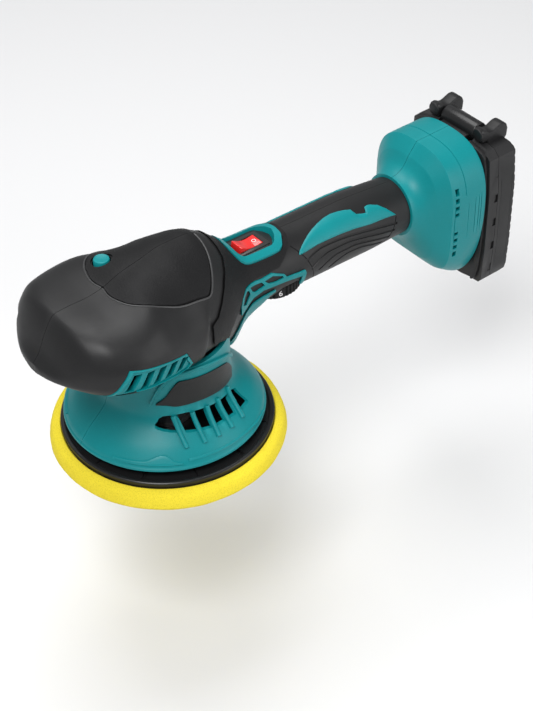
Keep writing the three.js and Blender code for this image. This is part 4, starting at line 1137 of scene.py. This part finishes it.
class POLISHER_OT_battery(bpy.types.Operator):
    """Models the battery's front and rear case and its release bar"""
    bl_idname = "polisher.battery"
    bl_label = "Battery"

    def execute(self, context):
        inside = block(241.3, PACK_END - 1.5, -33, 33, 16.5, 110.9)
        bay = block(PACK_X - 1, PACK_SPLIT + 12, -16, 16, 110.9, PACK_TOP + 9)
        outline = rounded(case_outline(PACK_HALF, PACK_LOW, 4.5), 1)
        front = prism(outline, PACK_X + 2, PACK_SPLIT, "lengthways")
        slope = prism([(PACK_X - 2, PACK_TOP - 8), (PACK_X + 9, PACK_TOP + 2),
                       (PACK_X - 2, PACK_TOP + 2)], -50, 50, "sideways")
        cut(front, slope)
        face = prism(rounded(case_outline(36, 13, 9), 2), PACK_X, PACK_X + 3.6, "lengthways", bevel=0.5)
        join(front, face)
        notches = [side_block(side, PACK_SPLIT - 2.6, PACK_SPLIT + 0.5, 36.8, 40, z, z + 6)
                   for z in (25, 44, 63, 82, 101) for side in (-1, 1)]
        channel = block(PACK_X - 1, PACK_X + 3.2, -28.5, 28.5, 9.5, 105)
        contacts = block(PACK_X - 1, PACK_X + 3.5, -13, 13, 9.5, 73.5)
        cut(front, copy_of(inside), copy_of(bay), channel, contacts, merge(*notches))
        for side in (-1, 1):
            join(front, side_block(side, PACK_X, PACK_X + 0.6, 26.4, 30, 26, 106))
        place_piece(front, "pack_front_case", "battery", ["pack_front"], finish("black"))

        x0 = PACK_SPLIT + 0.3
        rear = prism(outline, x0, PACK_END, "lengthways")
        corners = [
            prism([(PACK_END - 7, 10), (PACK_END + 5, 10), (PACK_END + 5, 26), (PACK_END, 24),
                   (PACK_END - 1.5, 19), (PACK_END - 7, 15.4)], -50, 50, "sideways"),
            prism([(PACK_END - 5, PACK_TOP + 0.1), (PACK_END - 1.6, PACK_TOP - 1.4),
                   (PACK_END, PACK_TOP - 5), (PACK_END + 5, PACK_TOP - 5), (PACK_END + 5, PACK_TOP + 3)],
                  -50, 50, "sideways"),
        ]
        cut(rear, *corners)
        ribs = context.scene.polisher_sizes.pack_ribs
        scallops = [bar(2.2, -50, 50, "sideways", at=(PACK_END + 1.75, 31 + 80 * i / (ribs - 1)),
                        segments=20) for i in range(ribs)]
        cut(rear, merge(*scallops))
        edge = [(PACK_SPLIT + 3, 24), (PACK_END - 5.5, 20.5), (PACK_END - 2.6, 26), (PACK_END - 2.4, 106),
                (PACK_END - 5, 113), (PACK_SPLIT + 5.5, 113), (PACK_SPLIT + 3, 108)]
        rim = moved_in(edge, 1.3)
        lines = []
        for side in (-1, 1):
            outer = prism(edge, min(side * 37.2, side * 40), max(side * 37.2, side * 40), "sideways")
            cut(outer, prism(rim, -60, 60, "sideways"))
            lines.append(outer)
        cut(rear, merge(*lines), inside, bay)
        for y in (-20.6, 20.6):
            fin_side = [(PACK_X + 5, PACK_TOP + 0.3), (x0, PACK_TOP + 0.3), (x0, PACK_TOP - 6),
                        (PACK_END - 1, PACK_TOP - 6), (PACK_END + 2.4, PACK_TOP - 2),
                        (PACK_END + 2.9, PACK_TOP + 3.5), (PACK_END + 1.6, PACK_TOP + 7),
                        (PACK_END - 1, PACK_TOP + 8.8), (PACK_END - 4, PACK_TOP + 8.9),
                        (PACK_X + 15, PACK_TOP + 6.4), (PACK_X + 12.4, PACK_TOP + 6.4),
                        (PACK_X + 8.5, PACK_TOP + 8.6), (PACK_X + 5, PACK_TOP + 8.2)]
            fin = prism(fin_side, y - 4.4, y + 4.4, "sideways", bevel=1.1)
            join(rear, fin)
            knob = bar(4.4, PACK_X + 4.2, PACK_X + 8, "lengthways", at=(y, PACK_TOP + 4.8), bevel=0.6)
            join(rear, knob)
        place_piece(rear, "pack_rear_case", "battery", ["pack_rear"], finish("black"))

        button = bar(6.5, -15, 15, "sideways", at=(PACK_SPLIT + 2, PACK_TOP + 1.5), segments=48,
                     bevel=0.8)
        join(button, block(PACK_X + 1.4, PACK_SPLIT + 8, -12, 12, PACK_TOP - 5.2, PACK_TOP + 1,
                           bevel=0.4))
        place_piece(button, "release_bar", "release_button", ["release_button"],
                    finish("smooth_black"))
        return {"FINISHED"}


# ---- Parts that keep their shape ----------------------------------------------------------

KEPT = {
    "steel": ["motor_shaft", "upper_bearing", "lower_bearing", "pad_bearing", "lock_ring", "plate_bolt",
              "pad_hub", "housing_screw_1", "housing_screw_2", "housing_screw_3"],
    "iron": ["counterweight", "motor_rotor"],
    "copper": ["motor_stator"],
    "aluminium": ["motor_bracket", "heat_sink"],
    "board": ["control_board"],
    "dark": ["speed_regulator", "terminal_block", "motor_lead", "power_lead_black"],
    "black": ["cooling_fan"],
    "wrap": ["cell_1", "cell_2", "cell_3", "cell_4", "cell_5"],
    "brass": ["pack_contacts"],
    "lead_red": ["power_lead_red"],
}


class POLISHER_OT_inner_parts(bpy.types.Operator):
    """Gives the motor, drive, electronics and cells their finishes"""
    bl_idname = "polisher.inner_parts"
    bl_label = "Inner parts"

    def execute(self, context):
        for kind, names in KEPT.items():
            for name in names:
                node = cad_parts[name]
                if not node.material_slots:
                    node.data.materials.append(None)
                for holder in node.material_slots:
                    holder.material = finish(kind)
        return {"FINISHED"}


# ---- Stage --------------------------------------------------------------------------------

def lamp(name, place, aim, size, power, size_y=None):
    data = bpy.data.lights.new(name, "AREA")
    data.shape, data.size, data.size_y, data.energy = "RECTANGLE", size, size_y or size, power
    made = linked(name, data)
    made.location = place
    made.rotation_euler = (Vector(aim) - Vector(place)).to_track_quat("-Z", "Y").to_euler()


class POLISHER_OT_stage(bpy.types.Operator):
    """Sets up the camera, the soft lights and the pale floor"""
    bl_idname = "polisher.stage"
    bl_label = "Stage"

    def execute(self, context):
        data = bpy.data.cameras.new("camera")
        camera = linked("camera", data)
        right, up, ahead = (Vector((0.7797, -0.6261, -0.0114)), Vector((0.4140, 0.5017, 0.7596)),
                            Vector((0.4699, 0.5969, -0.6503)))
        turn = Matrix((right, up, -ahead)).transposed().to_4x4()
        camera.matrix_world = Matrix.Translation((-0.4389, -0.6611, 0.7338)) @ turn
        data.sensor_width, data.lens = 36, 36 * 1700 / 711
        data.clip_start, data.clip_end = 0.05, 20
        context.scene.camera = camera

        drop = context.scene.polisher_sizes.floor_drop
        bm = bmesh.new()
        bmesh.ops.create_grid(bm, x_segments=8, y_segments=8, size=6)
        bmesh.ops.translate(bm, verts=bm.verts, vec=(0, 0, -drop))
        floor = new_object("floor", bm)
        paint = bpy.data.materials.new("pale_floor")
        paint.use_nodes = True
        surface = paint.node_tree.nodes["Principled BSDF"]
        surface.inputs["Base Color"].default_value = (0.7, 0.7, 0.705, 1)
        surface.inputs["Roughness"].default_value = 0.9
        surface.inputs["Specular IOR Level"].default_value = 0.1
        floor.data.materials.append(paint)

        world = bpy.data.worlds.new("studio")
        world.use_nodes = True
        world.node_tree.nodes["Background"].inputs["Color"].default_value = (0.93, 0.94, 0.95, 1)
        world.node_tree.nodes["Background"].inputs["Strength"].default_value = 0.42
        context.scene.world = world
        lamp("key", (-0.7, -0.5, 1.4), (0.05, 0, 0.08), 0.7, 22)
        lamp("side", (0.75, -1.2, 0.45), (0.15, 0, 0.08), 0.6, 7, 1.0)
        lamp("top", (0.2, 0.5, 1.4), (0.08, 0, 0.05), 0.9, 14)
        context.scene.view_settings.view_transform = "Standard"
        return {"FINISHED"}


# ---- Sidebar and run ----------------------------------------------------------------------

OPERATORS = (
    POLISHER_OT_stage, POLISHER_OT_inner_parts, POLISHER_OT_head, POLISHER_OT_top_grip,
    POLISHER_OT_grilles, POLISHER_OT_handle, POLISHER_OT_accents, POLISHER_OT_dial_trim,
    POLISHER_OT_saddle, POLISHER_OT_switch, POLISHER_OT_dial, POLISHER_OT_shroud,
    POLISHER_OT_neck_panels, POLISHER_OT_pad, POLISHER_OT_lock, POLISHER_OT_springs,
    POLISHER_OT_rear_housing, POLISHER_OT_battery,
)


class POLISHER_PT_sidebar(bpy.types.Panel):
    """The polisher's settings and the pieces it can model"""
    bl_idname = "POLISHER_PT_sidebar"
    bl_label = "Dual action polisher"
    bl_space_type = "VIEW_3D"
    bl_region_type = "UI"
    bl_category = "Polisher"

    def draw(self, context):
        for group in (context.scene.polisher_sizes, context.scene.polisher_looks):
            for name in group.__annotations__:
                self.layout.prop(group, name)
        for operator in OPERATORS:
            self.layout.operator(operator.bl_idname)


CLASSES = (PolisherSizes, PolisherLooks, *OPERATORS, POLISHER_PT_sidebar)


def register():
    for c in CLASSES:
        bpy.utils.register_class(c)
    bpy.types.Scene.polisher_sizes = PointerProperty(type=PolisherSizes)
    bpy.types.Scene.polisher_looks = PointerProperty(type=PolisherLooks)


def unregister():
    del bpy.types.Scene.polisher_looks
    del bpy.types.Scene.polisher_sizes
    for c in reversed(CLASSES):
        bpy.utils.unregister_class(c)


def main():
    register()
    for operator in OPERATORS:
        group, name = operator.bl_idname.split(".")
        getattr(getattr(bpy.ops, group), name)()


if __name__ == "__main__":
    main()
